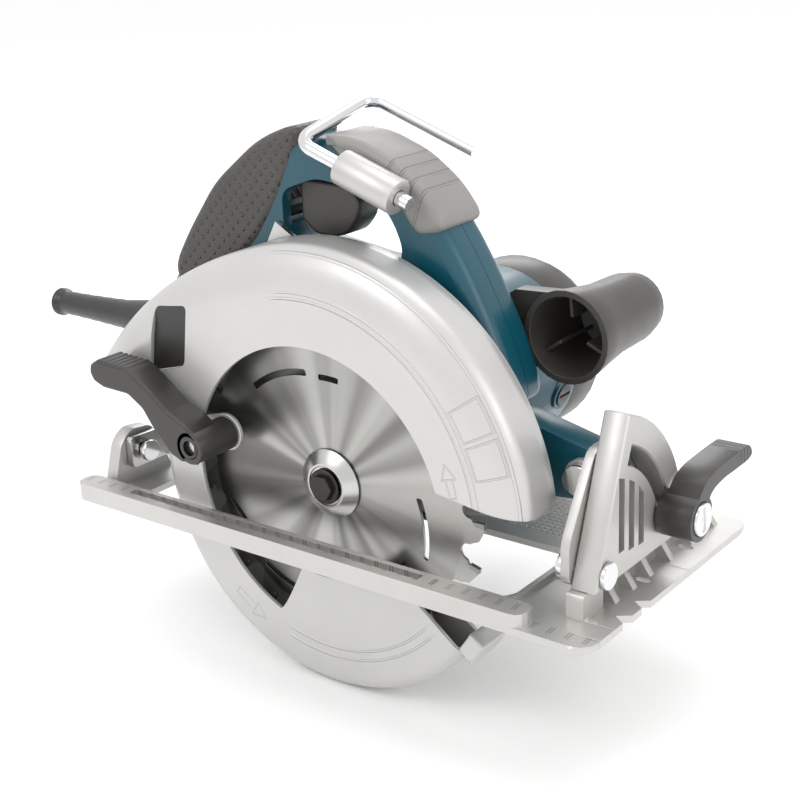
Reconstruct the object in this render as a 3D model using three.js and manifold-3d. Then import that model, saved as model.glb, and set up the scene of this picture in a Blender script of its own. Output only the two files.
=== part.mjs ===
// Hand-held circular saw, blade on the right, motor lying across to the left.
//
// Frame: millimetres, +X the way the saw is pushed, +Y towards the motor, +Z up.
// The origin is on the cut line: in the blade's middle plane, under the arbor, on
// the underside of the shoe. Pieces are drawn in the arbor's own frame (arbor axis
// through x = 0, z = 0) inside a group that lifts them by the arbor's height.

import * as THREE from "three";
import { mergeVertices } from "three/addons/utils/BufferGeometryUtils.js";
import Module from "manifold-3d";

const wasm = await Module();
wasm.setup();

// ---------------------------------------------------------------- driving sizes

const gap = 0.3;                 // clearance between pieces that touch
const slip = 0.4;                // running clearance round what turns or slides

const arborHeight = 32;          // arbor axis above the shoe's underside
const bladeRadius = 92;          // 7-1/4 in blade
const bladeThickness = 1.7;
const bladeBore = 7.94;          // 5/8 in arbor hole, as a radius
const teeth = 24;

const shoeRear = -157;
const shoeFront = 167;
const shoeRight = -34.5;
const shoeLeft = 124;
const plateThickness = 3.5;
const railHeight = 10;
const railWidth = 13.5;
const railFront = 133;
const slotRear = -124;           // blade opening in the shoe
const slotFront = 113;
const slotLeft = 46.5;

const bevelY = 0;                // bevel axis, along X
const bevelZ = -10;
const bevelTravel = 50;          // degrees
const quadrantRear = 143;
const quadrantThickness = 13;
const quadrantRadius = 72;
const clampRadius = 54;          // bevel clamp bolt from the bevel axis
const clampAngle = 77.5;         // degrees from vertical, at a square cut
const clampBolt = 4;

const depthX = 129;              // depth pivot, along Y
const depthZ = 22;
const depthPin = 4;
const guideRadius = 191;         // depth guide's slot from the depth pivot
const guideTravel = 26;          // degrees
const guideBolt = 3.5;
const guideBoltHead = 2.6;
const guideThickness = 3;

const guardRadius = bladeRadius + 31;  // upper guard
const guardWall = 3;
const guardRight = -17;
const guardLeft = 13.5;
const windowRadius = bladeRadius - 14;
const lowerGuardRadius = bladeRadius + 16;
const lowerGuardWall = 2.4;
const lowerGuardRight = -12;
const lowerGuardLeft = 8.6;
const hubBoss = 24;              // gear housing's nose, which carries the lower guard

const gearModule = 1.25;
const gearTeeth = 44;
const pinionTeeth = 11;
const gearRight = 22;
const gearWidth = 10;
const motorAngle = 73;           // motor axis seen from the arbor, degrees above +X
const motorRadius = 49;
const motorWall = 3;
const motorRight = 45.3;
const motorLeft = 136;
const endCapLeft = 176;
const housingRight = 16;
const housingLeft = 45;

const handleWidth = 31;
const skin = 1.3;                // rubber and grip inlays stand this proud
const triggerTravel = 7;
const triggerAngle = 25;         // degrees the pull rises towards the rear

// ---------------------------------------------------------------- derived sizes

const gearRadius = gearModule * gearTeeth / 2;
const pinionRadius = gearModule * pinionTeeth / 2;
const centreDistance = gearRadius + pinionRadius;
const radians = THREE.MathUtils.degToRad;
const motorX = centreDistance * Math.cos(radians(motorAngle));
const motorZ = centreDistance * Math.sin(radians(motorAngle));
const shoeBottom = -arborHeight;
const plateTop = shoeBottom + plateThickness;
const railTop = shoeBottom + railHeight;
const quadrantFront = quadrantRear + quadrantThickness;
const clampY = bevelY + clampRadius * Math.sin(radians(clampAngle));
const clampZ = bevelZ + clampRadius * Math.cos(radians(clampAngle));
const guideY = guardLeft + guideBoltHead + 2 * slip;
const handleRight = guideY + guideThickness + slip;
const handleY = handleRight + handleWidth / 2;
const handleLeft = handleRight + handleWidth;

// ---------------------------------------------------------------- finishes

const finish = (color, roughness, metalness) =>
  new THREE.MeshStandardMaterial({ color, roughness, metalness });
const castAlloy = finish(0xbebbb8, 0.45, 0.8);
const silverPaint = finish(0xd2d1d0, 0.35, 0.5);
const steel = finish(0xa8a8a8, 0.3, 1.0);
const chrome = finish(0xd8d8da, 0.12, 1.0);
const blackSteel = finish(0x2c2b2a, 0.4, 0.8);
const bluePlastic = finish(0x0d5570, 0.4, 0.0);
const darkPlastic = finish(0x47433f, 0.55, 0.0);
const blackPlastic = finish(0x2b2928, 0.45, 0.0);
const rubber = finish(0x4d4843, 0.85, 0.0);
const greyPlastic = finish(0x96918c, 0.6, 0.0);
const copper = finish(0xb06a3a, 0.4, 0.9);
const laminations = finish(0x6f7276, 0.5, 0.8);

// ---------------------------------------------------------------- shape helpers

// A closed mesh as a solid: merged corners, no slivers, faces pointing out.
function solidOf(source) {
  const geometry = source.clone();
  geometry.deleteAttribute("normal");
  geometry.deleteAttribute("uv");
  const merged = mergeVertices(geometry);
  const at = merged.getAttribute("position").array;
  const corner = (i) => new THREE.Vector3().fromArray(at, 3 * i);
  const triangles = [];
  let volume = 0;
  for (let i = 0; i < merged.index.count; i += 3) {
    const [a, b, c] = [0, 1, 2].map((k) => merged.index.getX(i + k));
    if (a === b || b === c || c === a) continue;
    triangles.push([a, b, c]);
    volume += corner(a).dot(corner(b).cross(corner(c)));
  }
  const wound = volume < 0 ? triangles.map(([a, b, c]) => [a, c, b]) : triangles;
  const triVerts = new Uint32Array(wound.flat());
  const vertProperties = new Float32Array(at);
  return new wasm.Manifold(new wasm.Mesh({ numProp: 3, vertProperties, triVerts }));
}

// How an outline (u, v) and its depth w lie in space, for each direction of depth.
const layOut = {
  x: new THREE.Matrix4().set(0, 0, 1, 0, 1, 0, 0, 0, 0, 1, 0, 0, 0, 0, 0, 1),
  y: new THREE.Matrix4().set(1, 0, 0, 0, 0, 0, 1, 0, 0, 1, 0, 0, 0, 0, 0, 1),
  z: new THREE.Matrix4(),
};
const toVectors = (points) => points.map(([u, v]) => new THREE.Vector2(u, v));

// An outline pushed along an axis from one level to another, its edges eased by bevel.
// Outlines are (y, z) along x, (x, z) along y and (x, y) along z.
function slab(axis, outline, from, to, { holes = [], bevel = 0, bevelSteps = 2 } = {}) {
  const shape = new THREE.Shape(toVectors(outline));
  holes.forEach((hole) => shape.holes.push(new THREE.Path(toVectors(hole))));
  const geometry = new THREE.ExtrudeGeometry(shape, {
    depth: to - from - 2 * bevel, bevelEnabled: bevel > 0, bevelThickness: bevel,
    bevelSize: bevel, bevelOffset: -bevel, bevelSegments: bevelSteps, steps: 1,
  });
  geometry.translate(0, 0, from + bevel);
  geometry.applyMatrix4(layOut[axis]);
  return solidOf(geometry);
}

// A profile of (radius, level) pairs turned round a line along x, y or z.
function turned(axis, profile, [x, y, z] = [0, 0, 0], segments = 24) {
  const points = toVectors(profile);
  const closes = profile[0][0] === 0 && profile.at(-1)[0] === 0;
  if (!closes) points.push(points[0].clone());
  const geometry = new THREE.LatheGeometry(points, segments);
  if (axis === "x") geometry.rotateZ(-Math.PI / 2);
  if (axis === "z") geometry.rotateX(Math.PI / 2);
  geometry.translate(x, y, z);
  return solidOf(geometry);
}

const disc = (axis, radius, from, to, centre, segments = 24) =>
  turned(axis, [[0, from], [radius, from], [radius, to], [0, to]], centre, segments);
const ring = (axis, inner, outer, from, to, centre, segments = 24) =>
  turned(axis, [[inner, from], [outer, from], [outer, to], [inner, to]], centre, segments);

function box([x0, y0, z0], [x1, y1, z1]) {
  const geometry = new THREE.BoxGeometry(x1 - x0, y1 - y0, z1 - z0);
  geometry.translate((x0 + x1) / 2, (y0 + y1) / 2, (z0 + z1) / 2);
  return solidOf(geometry);
}

// A round rod along a curve, closed at both ends.
function rod(curve, radius, steps, sides = 8) {
  const section = new THREE.Shape(toVectors(arc(0, 0, radius, 0, 360 - 360 / sides, sides - 1)));
  return solidOf(new THREE.ExtrudeGeometry(section, { steps, extrudePath: curve }));
}

// Points on a circle from one angle to another, in degrees.
function arc(u, v, radius, from, to, steps) {
  return Array.from({ length: steps + 1 }, (_, i) => {
    const angle = radians(from + (to - from) * i / steps);
    return [u + radius * Math.cos(angle), v + radius * Math.sin(angle)];
  });
}

// A bend from one point to another, pulled towards a third.
function bend(from, pull, to, steps) {
  const curve = new THREE.QuadraticBezierCurve(...toVectors([from, pull, to]));
  return curve.getPoints(steps).map(({ x, y }) => [x, y]);
}

// An outline with each corner cut back by reach and rounded.
function eased(points, reach, steps = 3) {
  const corners = toVectors(points);
  return corners.flatMap((corner, i) => {
    const towards = (other) => {
      const way = other.clone().sub(corner);
      return corner.clone().addScaledVector(way.clone().normalize(), Math.min(reach, way.length() / 2.2));
    };
    const before = towards(corners.at(i - 1));
    const after = towards(corners[(i + 1) % corners.length]);
    const curve = new THREE.QuadraticBezierCurve(before, corner, after);
    return curve.getPoints(steps).map(({ x, y }) => [x, y]);
  });
}

// An outline moved outwards by distance, or inwards where it is negative.
function grown(points, distance) {
  const corners = toVectors(points);
  const side = THREE.ShapeUtils.isClockWise(corners) ? -1 : 1;
  const normal = (a, b) => new THREE.Vector2(b.y - a.y, a.x - b.x).normalize().multiplyScalar(side);
  return corners.map((corner, i) => {
    const n = normal(corners.at(i - 1), corner);
    const m = normal(corner, corners[(i + 1) % corners.length]);
    const miter = n.clone().add(m).normalize();
    const moved = corner.clone().addScaledVector(miter, distance / Math.max(miter.dot(n), 0.4));
    return [moved.x, moved.y];
  });
}

const join = (first, ...others) => others.reduce((whole, part) => whole.add(part), first);
const cut = (first, ...others) => others.reduce((whole, part) => whole.subtract(part), first);
const moved = (solid, x, y, z) => solid.translate([x, y, z]);

// ---------------------------------------------------------------- the assembly

const saw = new THREE.Group();
const arborFrame = new THREE.Group();
arborFrame.position.z = arborHeight;
saw.add(arborFrame);

function piece(name, solid, material) {
  const mesh = solid.getMesh();
  const geometry = new THREE.BufferGeometry();
  geometry.setAttribute("position", new THREE.BufferAttribute(new Float32Array(mesh.vertProperties), 3));
  geometry.setIndex(new THREE.BufferAttribute(new Uint32Array(mesh.triVerts), 1));
  geometry.computeVertexNormals();
  const node = new THREE.Mesh(geometry, material);
  node.name = name;
  arborFrame.add(node);
}

// A socket-head or pan-head screw along y: its head's outer face at one level,
// its tip at another.
function screw(headRadius, headDepth, shankRadius, face, tip, centre) {
  const inward = Math.sign(tip - face);
  const under = face + inward * headDepth;
  return turned("y", [
    [0, face], [headRadius, face], [headRadius, under],
    [shankRadius, under], [shankRadius, tip], [0, tip],
  ], centre, 8);
}

// ---------------------------------------------------------------- shoe

const wallRear = quadrantRear;
const wallThickness = 4;
const wallTop = -16.3;
const gussetReach = 9;
const gussetWidth = 4;
const gussetPlaces = [10, 26, 42, 62, 84, 108];
const lugFront = -142;
const lugThickness = 8;
const rearPin = 4;
const frontPin = 5;

const shoeOutline = eased([
  [shoeRear, shoeRight], [shoeFront, shoeRight], [shoeFront, shoeLeft],
  [shoeRear + 24, shoeLeft], [shoeRear, shoeLeft - 24],
], 10);
const slotOutline = eased([
  [slotRear, shoeRight + railWidth + 1], [slotFront - 12, shoeRight + railWidth + 1],
  [slotFront, shoeRight + railWidth + 16], [slotFront, slotLeft], [slotRear, slotLeft],
], 8);
const sightNotch = (y) => [[shoeFront + 1, y - 5], [shoeFront - 6, y], [shoeFront + 1, y + 5]];
const fenceSlot = (y) => eased([
  [shoeFront - 17, y], [shoeFront - 9, y], [shoeFront - 9, y + 4], [shoeFront - 17, y + 4],
], 1.5, 1);

const rail = slab("z", eased([
  [shoeRear, shoeRight], [railFront, shoeRight],
  [railFront, shoeRight + railWidth], [shoeRear, shoeRight + railWidth],
], 6), shoeBottom, railTop);
const railChannel = box(
  [shoeRear + 37, shoeRight + 5.5, railTop - 4], [slotFront - 40, shoeRight + railWidth - 3, railTop + 1]);
const wall = box([wallRear, 4, plateTop - 1], [wallRear + wallThickness, 118, wallTop]);
const gussets = gussetPlaces.map((y) => slab("y", [
  [wallRear + 1, plateTop - 1], [wallRear + wallThickness + gussetReach, plateTop - 1],
  [wallRear + wallThickness, wallTop], [wallRear + 1, wallTop],
], y, y + gussetWidth));
const slotRib = box([slotFront + 2, -14, plateTop - 1], [slotFront + 5, slotLeft + 4, plateTop + 3]);
const leftRib = box(
  [shoeRear + 40, shoeLeft - 4, plateTop - 1], [shoeFront - 30, shoeLeft - 1, plateTop + 3]);
const rearLug = slab("x", eased([
  [-20, plateTop - 1], [24, plateTop - 1], [11, 0], [-4, 2], [-12, -4],
], 4), lugFront - lugThickness, lugFront, {
  holes: [arc(bevelY, bevelZ, rearPin + gap, 0, 337.5, 15)],
});
const frontLug = slab("x", eased([
  [-13, plateTop - 1], [4.5, plateTop - 1], [4.5, wallTop], [-13, wallTop],
], 2), wallRear, wallRear + 9);
piece("shoe", cut(
  join(
    slab("z", shoeOutline, shoeBottom, plateTop, { holes: [slotOutline] }),
    rail, wall, ...gussets, slotRib, leftRib, rearLug, frontLug,
  ),
  railChannel,
  ...[0, 17].map((y) => slab("z", sightNotch(y), shoeBottom - 1, plateTop + 1)),
  ...[-12, 36, 78].map((y) => slab("z", fenceSlot(y), shoeBottom - 1, plateTop + 1)),
), castAlloy);

// ---------------------------------------------------------------- bevel quadrant

const slotHalf = clampBolt + slip;
const toCircle = (radius, fromVertical) => [
  bevelY + radius * Math.sin(radians(fromVertical)),
  bevelZ + radius * Math.cos(radians(fromVertical)),
];
const sweep = (radius, from, to, steps) => Array.from(
  { length: steps + 1 }, (_, i) => toCircle(radius, from + (to - from) * i / steps));
const slotLow = clampAngle + 1;
const slotHigh = clampAngle - bevelTravel - 1;
const clampSlot = [
  ...sweep(clampRadius - slotHalf, slotHigh - 4, slotLow + 4, 12),
  ...sweep(clampRadius + slotHalf, slotLow + 4, slotHigh - 4, 12),
];
const quadrantOutline = [
  [-9, wallTop + gap], [62, wallTop + gap],
  ...sweep(quadrantRadius, 88, 16, 14),
];
const ribWindow = (left, low) => {
  const inner = clampRadius - slotHalf - 6;
  const reach = (y) => bevelZ + Math.sqrt(inner ** 2 - (y - bevelY) ** 2);
  return [[left, low], [left + 5, low], [left + 5, reach(left + 5)], [left, reach(left)]];
};
piece("bevel_quadrant", cut(
  slab("x", quadrantOutline, quadrantRear, quadrantFront,
    { holes: [clampSlot], bevel: 0.8, bevelSteps: 1 }),
  disc("x", frontPin + gap, quadrantRear - 1, quadrantFront + 1, [0, bevelY, bevelZ], 16),
  ...[[11, -4], [20, -6], [29, -7]].map(([left, low]) =>
    slab("x", ribWindow(left, low), quadrantRear + 5, quadrantFront + 1)),
), castAlloy);

piece("front_bevel_pin", turned("x", [
  [0, 134], [frontPin + 2.5, 134], [frontPin + 2.5, 137.6], [frontPin, 137.6],
  [frontPin, quadrantFront + gap], [frontPin + 1.5, quadrantFront + gap],
  [frontPin + 1.5, quadrantFront + 2.5], [0, quadrantFront + 2.5],
], [0, bevelY, bevelZ], 16), chrome);
piece("rear_bevel_pin", turned("x", [
  [0, lugFront - lugThickness - 5], [rearPin + 3, lugFront - lugThickness - 5],
  [rearPin + 3, lugFront - lugThickness - gap], [rearPin, lugFront - lugThickness - gap],
  [rearPin, -134.6], [rearPin + 2, -134.6], [rearPin + 2, -131], [0, -131],
], [0, bevelY, bevelZ], 16), chrome);

// ---------------------------------------------------------------- tilting brackets

const armRight = 28;
const tiltRear = 138;
const tiltFront = quadrantRear - gap - 0.2;
const earThickness = 4;
const armEnd = 12.5;
const tiltWindow = [
  [armRight - gap, depthZ - armEnd - 3], [housingLeft + gap, depthZ - armEnd - 3],
  [housingLeft + gap, depthZ + armEnd + 3], [armRight - gap, depthZ + armEnd + 3],
];
const ear = (right) => slab("y", [
  ...arc(depthX, depthZ, 9, 90, 270, 8),
  [tiltRear + 1, depthZ - 9], [tiltRear + 1, depthZ + 9],
], right, right + earThickness);
piece("front_tilt_bracket", cut(
  join(
    slab("x", eased([
      [-9, bevelZ - 6], [60, bevelZ - 6], [64, clampZ + 8], [52, 42], [14, 42], [-9, 4],
    ], 5), tiltRear, tiltFront, { holes: [tiltWindow] }),
    ear(armRight - gap - earThickness), ear(housingLeft + gap),
  ),
  disc("x", frontPin + slip, tiltRear - 1, tiltFront + 1, [0, bevelY, bevelZ], 16),
  disc("x", clampBolt + gap, tiltRear - 1, tiltFront + 1, [0, clampY, clampZ], 16),
  disc("y", depthPin + slip, armRight - 10, housingLeft + 10, [depthX, 0, depthZ], 20),
), castAlloy);

piece("depth_pivot_pin", turned("y", [
  [0, armRight - earThickness - 5], [depthPin + 3.5, armRight - earThickness - 5],
  [depthPin + 3.5, armRight - earThickness - 2 * gap], [depthPin, armRight - earThickness - 2 * gap],
  [depthPin, housingLeft + earThickness + 4], [0, housingLeft + earThickness + 4],
], [depthX, 0, depthZ], 20), chrome);

// The depth guide: a foot that turns on the rear bevel pin, an arm along the left
// and an arc slotted round the depth pivot.
const guideLow = 180 - THREE.MathUtils.radToDeg(Math.atan2(3, guideRadius));
const guideArc = (radius, from, to, steps) => arc(depthX, depthZ, radius, from, to, steps);
const guideHalf = guideBolt + slip;
const footRear = lugFront + gap + 0.2;
const footFront = footRear + 4;
const guideFoot = slab("x", eased([
  [-9, bevelZ - 9], [guideY + guideThickness, bevelZ - 9], [guideY + guideThickness, bevelZ + 4],
  [14, bevelZ + 8], [-9, bevelZ + 9],
], 3), footRear, footFront);
const guideArm = slab("y", [
  [footRear + 1, bevelZ - 9], [-52, bevelZ - 9], [-50, 14], [-72, 14], [-76, 0], [footRear + 1, bevelZ + 2],
], guideY, guideY + guideThickness);
const guideStrip = slab("y", [
  ...guideArc(guideRadius + 9, guideLow - guideTravel - 4, guideLow + 6, 12),
  ...guideArc(guideRadius - 9, guideLow + 6, guideLow - guideTravel - 4, 12),
], guideY, guideY + guideThickness, {
  holes: [[
    ...guideArc(guideRadius + guideHalf, guideLow - guideTravel - 2, guideLow + 2, 12),
    ...guideArc(guideRadius - guideHalf, guideLow + 2, guideLow - guideTravel - 2, 12),
  ]],
});
piece("depth_guide", cut(
  join(guideFoot, guideArm, guideStrip),
  disc("x", rearPin + slip, footRear - 1, footFront + 1, [0, bevelY, bevelZ], 16),
), steel);

// ---------------------------------------------------------------- bevel lever

const leverHub = 11;
const hubRear = quadrantFront + gap + 1;
const hubFront = hubRear + 18;
piece("bevel_clamp_bolt", turned("x", [
  [0, tiltRear - 6], [clampBolt + 3.5, tiltRear - 6], [clampBolt + 3.5, tiltRear - gap],
  [clampBolt, tiltRear - gap], [clampBolt, hubFront - 4], [0, hubFront - 4],
], [0, clampY, clampZ], 20), steel);

const bevelArm = slab("x", eased([
  [-9, 5], [-3, 10.5], [3.6, 17], [13.5, 19.5], [35, 20.5], [49.5, 20.5], [53.3, 14.4],
  [48, 12.6], [35, 12.4], [23, 12.4], [13, 11], [7.3, 7.8], [6, -8],
], 3, 2).map(([y, z]) => [clampY + y, clampZ + z]), hubRear + 2, hubFront);
piece("bevel_lever", cut(
  join(disc("x", leverHub, hubRear, hubFront, [0, clampY, clampZ], 28), bevelArm),
  disc("x", clampBolt + slip, hubRear - 1, hubFront + 1, [0, clampY, clampZ], 20),
  disc("x", 8 + gap, hubFront - 3.4, hubFront + 1, [0, clampY, clampZ], 24),
), blackPlastic);
piece("bevel_lever_cap_screw", cut(
  disc("x", 8, hubFront - 3, hubFront + 1.5, [0, clampY, clampZ], 24),
  box([hubFront + 0.5, clampY - 1, clampZ - 6], [hubFront + 2, clampY + 1, clampZ + 6]),
), steel);

// ---------------------------------------------------------------- upper guard

const guardTail = [-guardRadius - 39, 31];
const guardBack = (offset) => bend(
  arc(0, 0, guardRadius - offset, 104, 104, 1)[0],
  [8 - guardRadius + offset * 0.7, guardRadius - 25 - offset],
  [guardTail[0] + offset, guardTail[1] + offset * 0.4], 8);
const guardRim = (offset, from) => [
  ...arc(0, 0, guardRadius - offset, from, 100, 16), ...guardBack(offset)];
const guardSilhouette = [
  ...guardRim(0, 2), [guardTail[0] + 6, 22], [-60, 10], [-36, -12],
  ...arc(0, 0, 33, 230, 310, 4), [40, -10], [guardRadius - 11, 3],
];
const guardHollow = [
  ...guardRim(guardWall, -14), [guardTail[0] + 4, -60], [guardRadius - 8, -60]];
const guardWindow = [
  ...arc(1, -3, windowRadius, 15.3, 156, 18), [-172, 26], [-172, -60], [140, -60], [140, 10.5],
];
const rearPocket = eased([
  [-0.82, 0.66], [-0.62, 0.69], [-0.66, 0.42], [-0.87, 0.37],
].map(([x, z]) => [x * guardRadius, z * guardRadius]), 4, 2);
const guardScrewRing = 35;
const guardScrews = [75, 165, 345].map((angle) => [
  6 + guardScrewRing * Math.cos(radians(angle)), 18 + guardScrewRing * Math.sin(radians(angle))]);
const behindGuard = box([-220, guardLeft, -60], [180, 60, 180]);
const guardSpacers = guardScrews.map(([x, z]) =>
  disc("y", 4.5, guardLeft - 1, housingRight - gap, [x, 0, z], 12));
const guardShell = cut(
  slab("y", guardSilhouette, guardRight, guardLeft + 20, { bevel: 8.4, bevelSteps: 2 }),
  behindGuard,
  slab("y", guardHollow, guardRight + guardWall, guardLeft - guardWall, { bevel: 6, bevelSteps: 1 }),
  slab("y", guardWindow, guardRight - 5, guardRight + guardWall + 1),
  slab("y", rearPocket, guardRight - 5, guardRight + guardWall + 1),
);
piece("upper_guard", cut(
  join(guardShell, ...guardSpacers),
  disc("y", hubBoss + slip, guardLeft - 10, guardLeft + 10, [0, 0, 0], 40),
  ...guardScrews.map(([x, z]) => disc("y", 2.3, guardLeft - 8, housingRight + 1, [x, 0, z], 12)),
  ...guardScrews.map(([x, z]) => disc("y", 4.4, guardLeft - 8, guardLeft - 0.9, [x, 0, z], 16)),
), silverPaint);
guardScrews.forEach(([x, z], i) => piece(`guard_screw_${i + 1}`,
  screw(4, 1.9, 2, guardLeft - guardWall + 0.1, housingRight + 3, [x, 0, z]), steel));

// ---------------------------------------------------------------- lower guard

const lowerFrom = -38;
const lowerTo = -200;
const lipOut = 6;
const leverX = 18 - windowRadius;
const leverZ = 18.8;
const sector = (radius, from, to, steps) => [[0, 0], ...arc(0, 0, radius, from, to, steps)];
const lowerLip = slab("y", [
  ...arc(0, 0, lowerGuardRadius - 4, -38, -31, 2), ...arc(0, 0, lowerGuardRadius + lipOut, -31, -38, 2),
], lowerGuardRight, lowerGuardLeft);
const leverEar = slab("y", [
  ...arc(leverX, leverZ, 10, 100, -130, 10), [leverX - 24, -6], [leverX - 39, 20],
], lowerGuardRight, lowerGuardRight + lowerGuardWall);
const lowerShell = cut(
  join(slab("y", sector(lowerGuardRadius, lowerFrom, lowerTo, 36), lowerGuardRight, lowerGuardLeft),
    disc("y", hubBoss + 10, lowerGuardLeft - lowerGuardWall, lowerGuardLeft, [0, 0, 0], 32), lowerLip),
  disc("y", lowerGuardRadius - lowerGuardWall, lowerGuardRight + lowerGuardWall,
    lowerGuardLeft - lowerGuardWall, [0, 0, 0], 40),
  slab("y", sector(lowerGuardRadius - 28, -109, -215, 16), lowerGuardRight - 1, lowerGuardRight + lowerGuardWall + 1),
  disc("y", lowerGuardRadius - 61, lowerGuardRight - 1, lowerGuardRight + lowerGuardWall + 1, [0, 0, 0], 32),
);
piece("lower_guard", cut(
  join(lowerShell, leverEar),
  disc("y", hubBoss + slip, 0, lowerGuardLeft + 1, [0, 0, 0], 40),
  disc("y", 3 + gap, lowerGuardRight - 1, lowerGuardRight + lowerGuardWall + 1, [leverX, 0, leverZ], 16),
), silverPaint);

const leverRight = -39;
const leverLeft = lowerGuardRight - gap;
const guardLeverArm = slab("y", eased([
  [4, -7], [5, 7], [-14, 16], [-34, 33], [-62, 35], [-68, 27], [-64, 22], [-42, 22], [-24, 4], [-10, -8],
], 3, 2).map(([x, z]) => [leverX + x, leverZ + z]), leverRight, guardRight - 4);
piece("guard_lever", cut(
  join(disc("y", 8.8, leverRight, leverLeft, [leverX, 0, leverZ], 24), guardLeverArm),
  disc("y", 3 + gap, leverRight - 1, leverLeft + 1, [leverX, 0, leverZ], 16),
  disc("y", 5.5, leverRight - 1, leverRight + 6, [leverX, 0, leverZ], 20),
), blackPlastic);
piece("guard_lever_screw",
  screw(4.8, 3, 3, leverRight + 2.4, lowerGuardRight + lowerGuardWall - 0.2, [leverX, 0, leverZ]), steel);

const springWire = 0.8;
class FlatSpiral extends THREE.Curve {
  getPoint(t, target = new THREE.Vector3()) {
    const angle = radians(40 + 560 * t);
    const radius = hubBoss + 3 + 5 * t;
    return target.set(radius * Math.cos(angle), (guardLeft + housingRight) / 2, radius * Math.sin(angle));
  }
}
piece("guard_return_spring", rod(new FlatSpiral(), springWire, 36, 5), steel);

// ---------------------------------------------------------------- blade and arbor

const flangeRadius = 18;
const boltRadius = 4;
const noseRadius = bladeBore - 0.3;
const halfBlade = bladeThickness / 2;
const flangeLeft = 5;
const shaftStep = flangeLeft + gap;
const bearingRight = 9;
const bearingWidth = 9;
const journal = 9.7;
const gearSeat = 8.5;
const tailSeat = 7;
const tailEnd = 44;

const toothPitch = 360 / teeth;
const bladeOutline = Array.from({ length: teeth }, (_, i) => {
  const start = i * toothPitch;
  return [
    [bladeRadius - 13, 3.4], [bladeRadius - 9, 5], [bladeRadius - 1.6, 7.4], [bladeRadius, 14],
    [bladeRadius - 4, 14.6], [bladeRadius - 11, 14.4],
  ].map(([radius, turn]) => arc(0, 0, radius, start + turn, start + turn, 1)[0]);
}).flat();
const slotInner = 0.61 * bladeRadius;
const slotWidth = 2.6;
const slotPoint = (inner, at, i) => arc(0, 0, inner + 1.2 * i, at + 5.2 * i, 0, 1)[0];
const expansionSlot = (at) => [
  ...[0, 1, 2, 3, 4, 5, 6].map((i) => slotPoint(slotInner, at, i)),
  ...[6, 5, 4, 3, 2, 1, 0].map((i) => slotPoint(slotInner + slotWidth, at, i)),
];
piece("saw_blade", slab("y", bladeOutline, -halfBlade, halfBlade, {
  holes: [
    arc(0, 0, bladeBore, 0, 345, 23),
    ...[0, 72, 144, 216, 288].map((at) => expansionSlot(at + 20)),
  ],
}), steel);

piece("inner_flange", ring("y", noseRadius + gap, flangeRadius, halfBlade + gap, flangeLeft), steel);
piece("outer_flange", turned("y", [
  [boltRadius + gap, -halfBlade - gap], [flangeRadius, -halfBlade - gap], [flangeRadius, -halfBlade - 2],
  [13, -6], [boltRadius + gap, -6],
], [0, 0, 0], 36), steel);
const boltHead = slab("y", arc(0, 0, 7, 0, 300, 5), -10.5, -6 - gap);
piece("blade_bolt", cut(
  join(boltHead, disc("y", boltRadius, -7, 15, [0, 0, 0], 20)),
  slab("y", arc(0, 0, 4, 30, 330, 5), -12, -7.5),
), blackSteel);
piece("arbor_shaft", turned("y", [
  [boltRadius + gap, -halfBlade], [noseRadius, -halfBlade],
  [noseRadius, shaftStep], [journal + 1.6, shaftStep],
  [journal + 1.6, bearingRight - gap], [journal, bearingRight - gap],
  [journal, gearRight - 1], [gearSeat, gearRight - 1],
  [gearSeat, gearRight + gearWidth + 2], [tailSeat, gearRight + gearWidth + 2],
  [tailSeat, tailEnd], [0, tailEnd], [0, 18], [boltRadius + gap, 18],
], [0, 0, 0], 20), steel);
piece("arbor_ball_bearing",
  ring("y", journal + slip, 20, bearingRight, bearingRight + bearingWidth), steel);

// Straight teeth with flat flanks, thinner than half the pitch to leave backlash.
function toothed(count, phase) {
  const pitchRadius = gearModule * count / 2;
  const pitch = 360 / count;
  const wide = (share) => pitch * share / 2;
  const [tip, root] = [pitchRadius + 0.8 * gearModule, pitchRadius - 1.1 * gearModule];
  return Array.from({ length: count }, (_, i) => [
    [root, -wide(0.56)], [tip, -wide(0.22)], [tip, wide(0.22)], [root, wide(0.56)],
  ].map(([radius, turn]) => arc(0, 0, radius, phase + i * pitch + turn, 0, 1)[0])).flat();
}
piece("output_gear", slab("y", toothed(gearTeeth, motorAngle), gearRight, gearRight + gearWidth, {
  holes: [arc(0, 0, gearSeat + gap, 0, 340, 17)],
}), steel);

// ---------------------------------------------------------------- armature

const motorCentre = [motorX, 0, motorZ];
const shaft = 4;
const fanRight = 52;
const fanRadius = motorRadius - motorWall - 8;
const coreRight = 70;
const coreLeft = 112;
const coreRadius = 26;
const commutatorRight = 116;
const commutatorLeft = 130;
const commutatorRadius = 13;
const frontBearingRight = 38;
const rearBearingRight = 150;
const motorBearingWidth = 6;
const waist = 5.5;
const pinionFace = toothed(pinionTeeth, motorAngle + 180 + 180 / pinionTeeth);
const pinion = moved(
  slab("y", pinionFace, gearRight - 0.5, gearRight + gearWidth + 0.5), motorX, 0, motorZ);
piece("armature_shaft", join(
  pinion,
  turned("y", [
    [0, gearRight - 1], [shaft, gearRight - 1], [shaft, frontBearingRight - 2],
    [waist, frontBearingRight - 2], [waist, rearBearingRight - 2], [shaft, rearBearingRight - 2],
    [shaft, rearBearingRight + 10], [0, rearBearingRight + 10],
  ], motorCentre, 24),
), steel);
piece("armature_core",
  ring("y", waist + gap, coreRadius, coreRight, coreLeft, motorCentre, 28), laminations);
piece("commutator",
  ring("y", waist + gap, commutatorRadius, commutatorRight, commutatorLeft, motorCentre, 24), copper);
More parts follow.
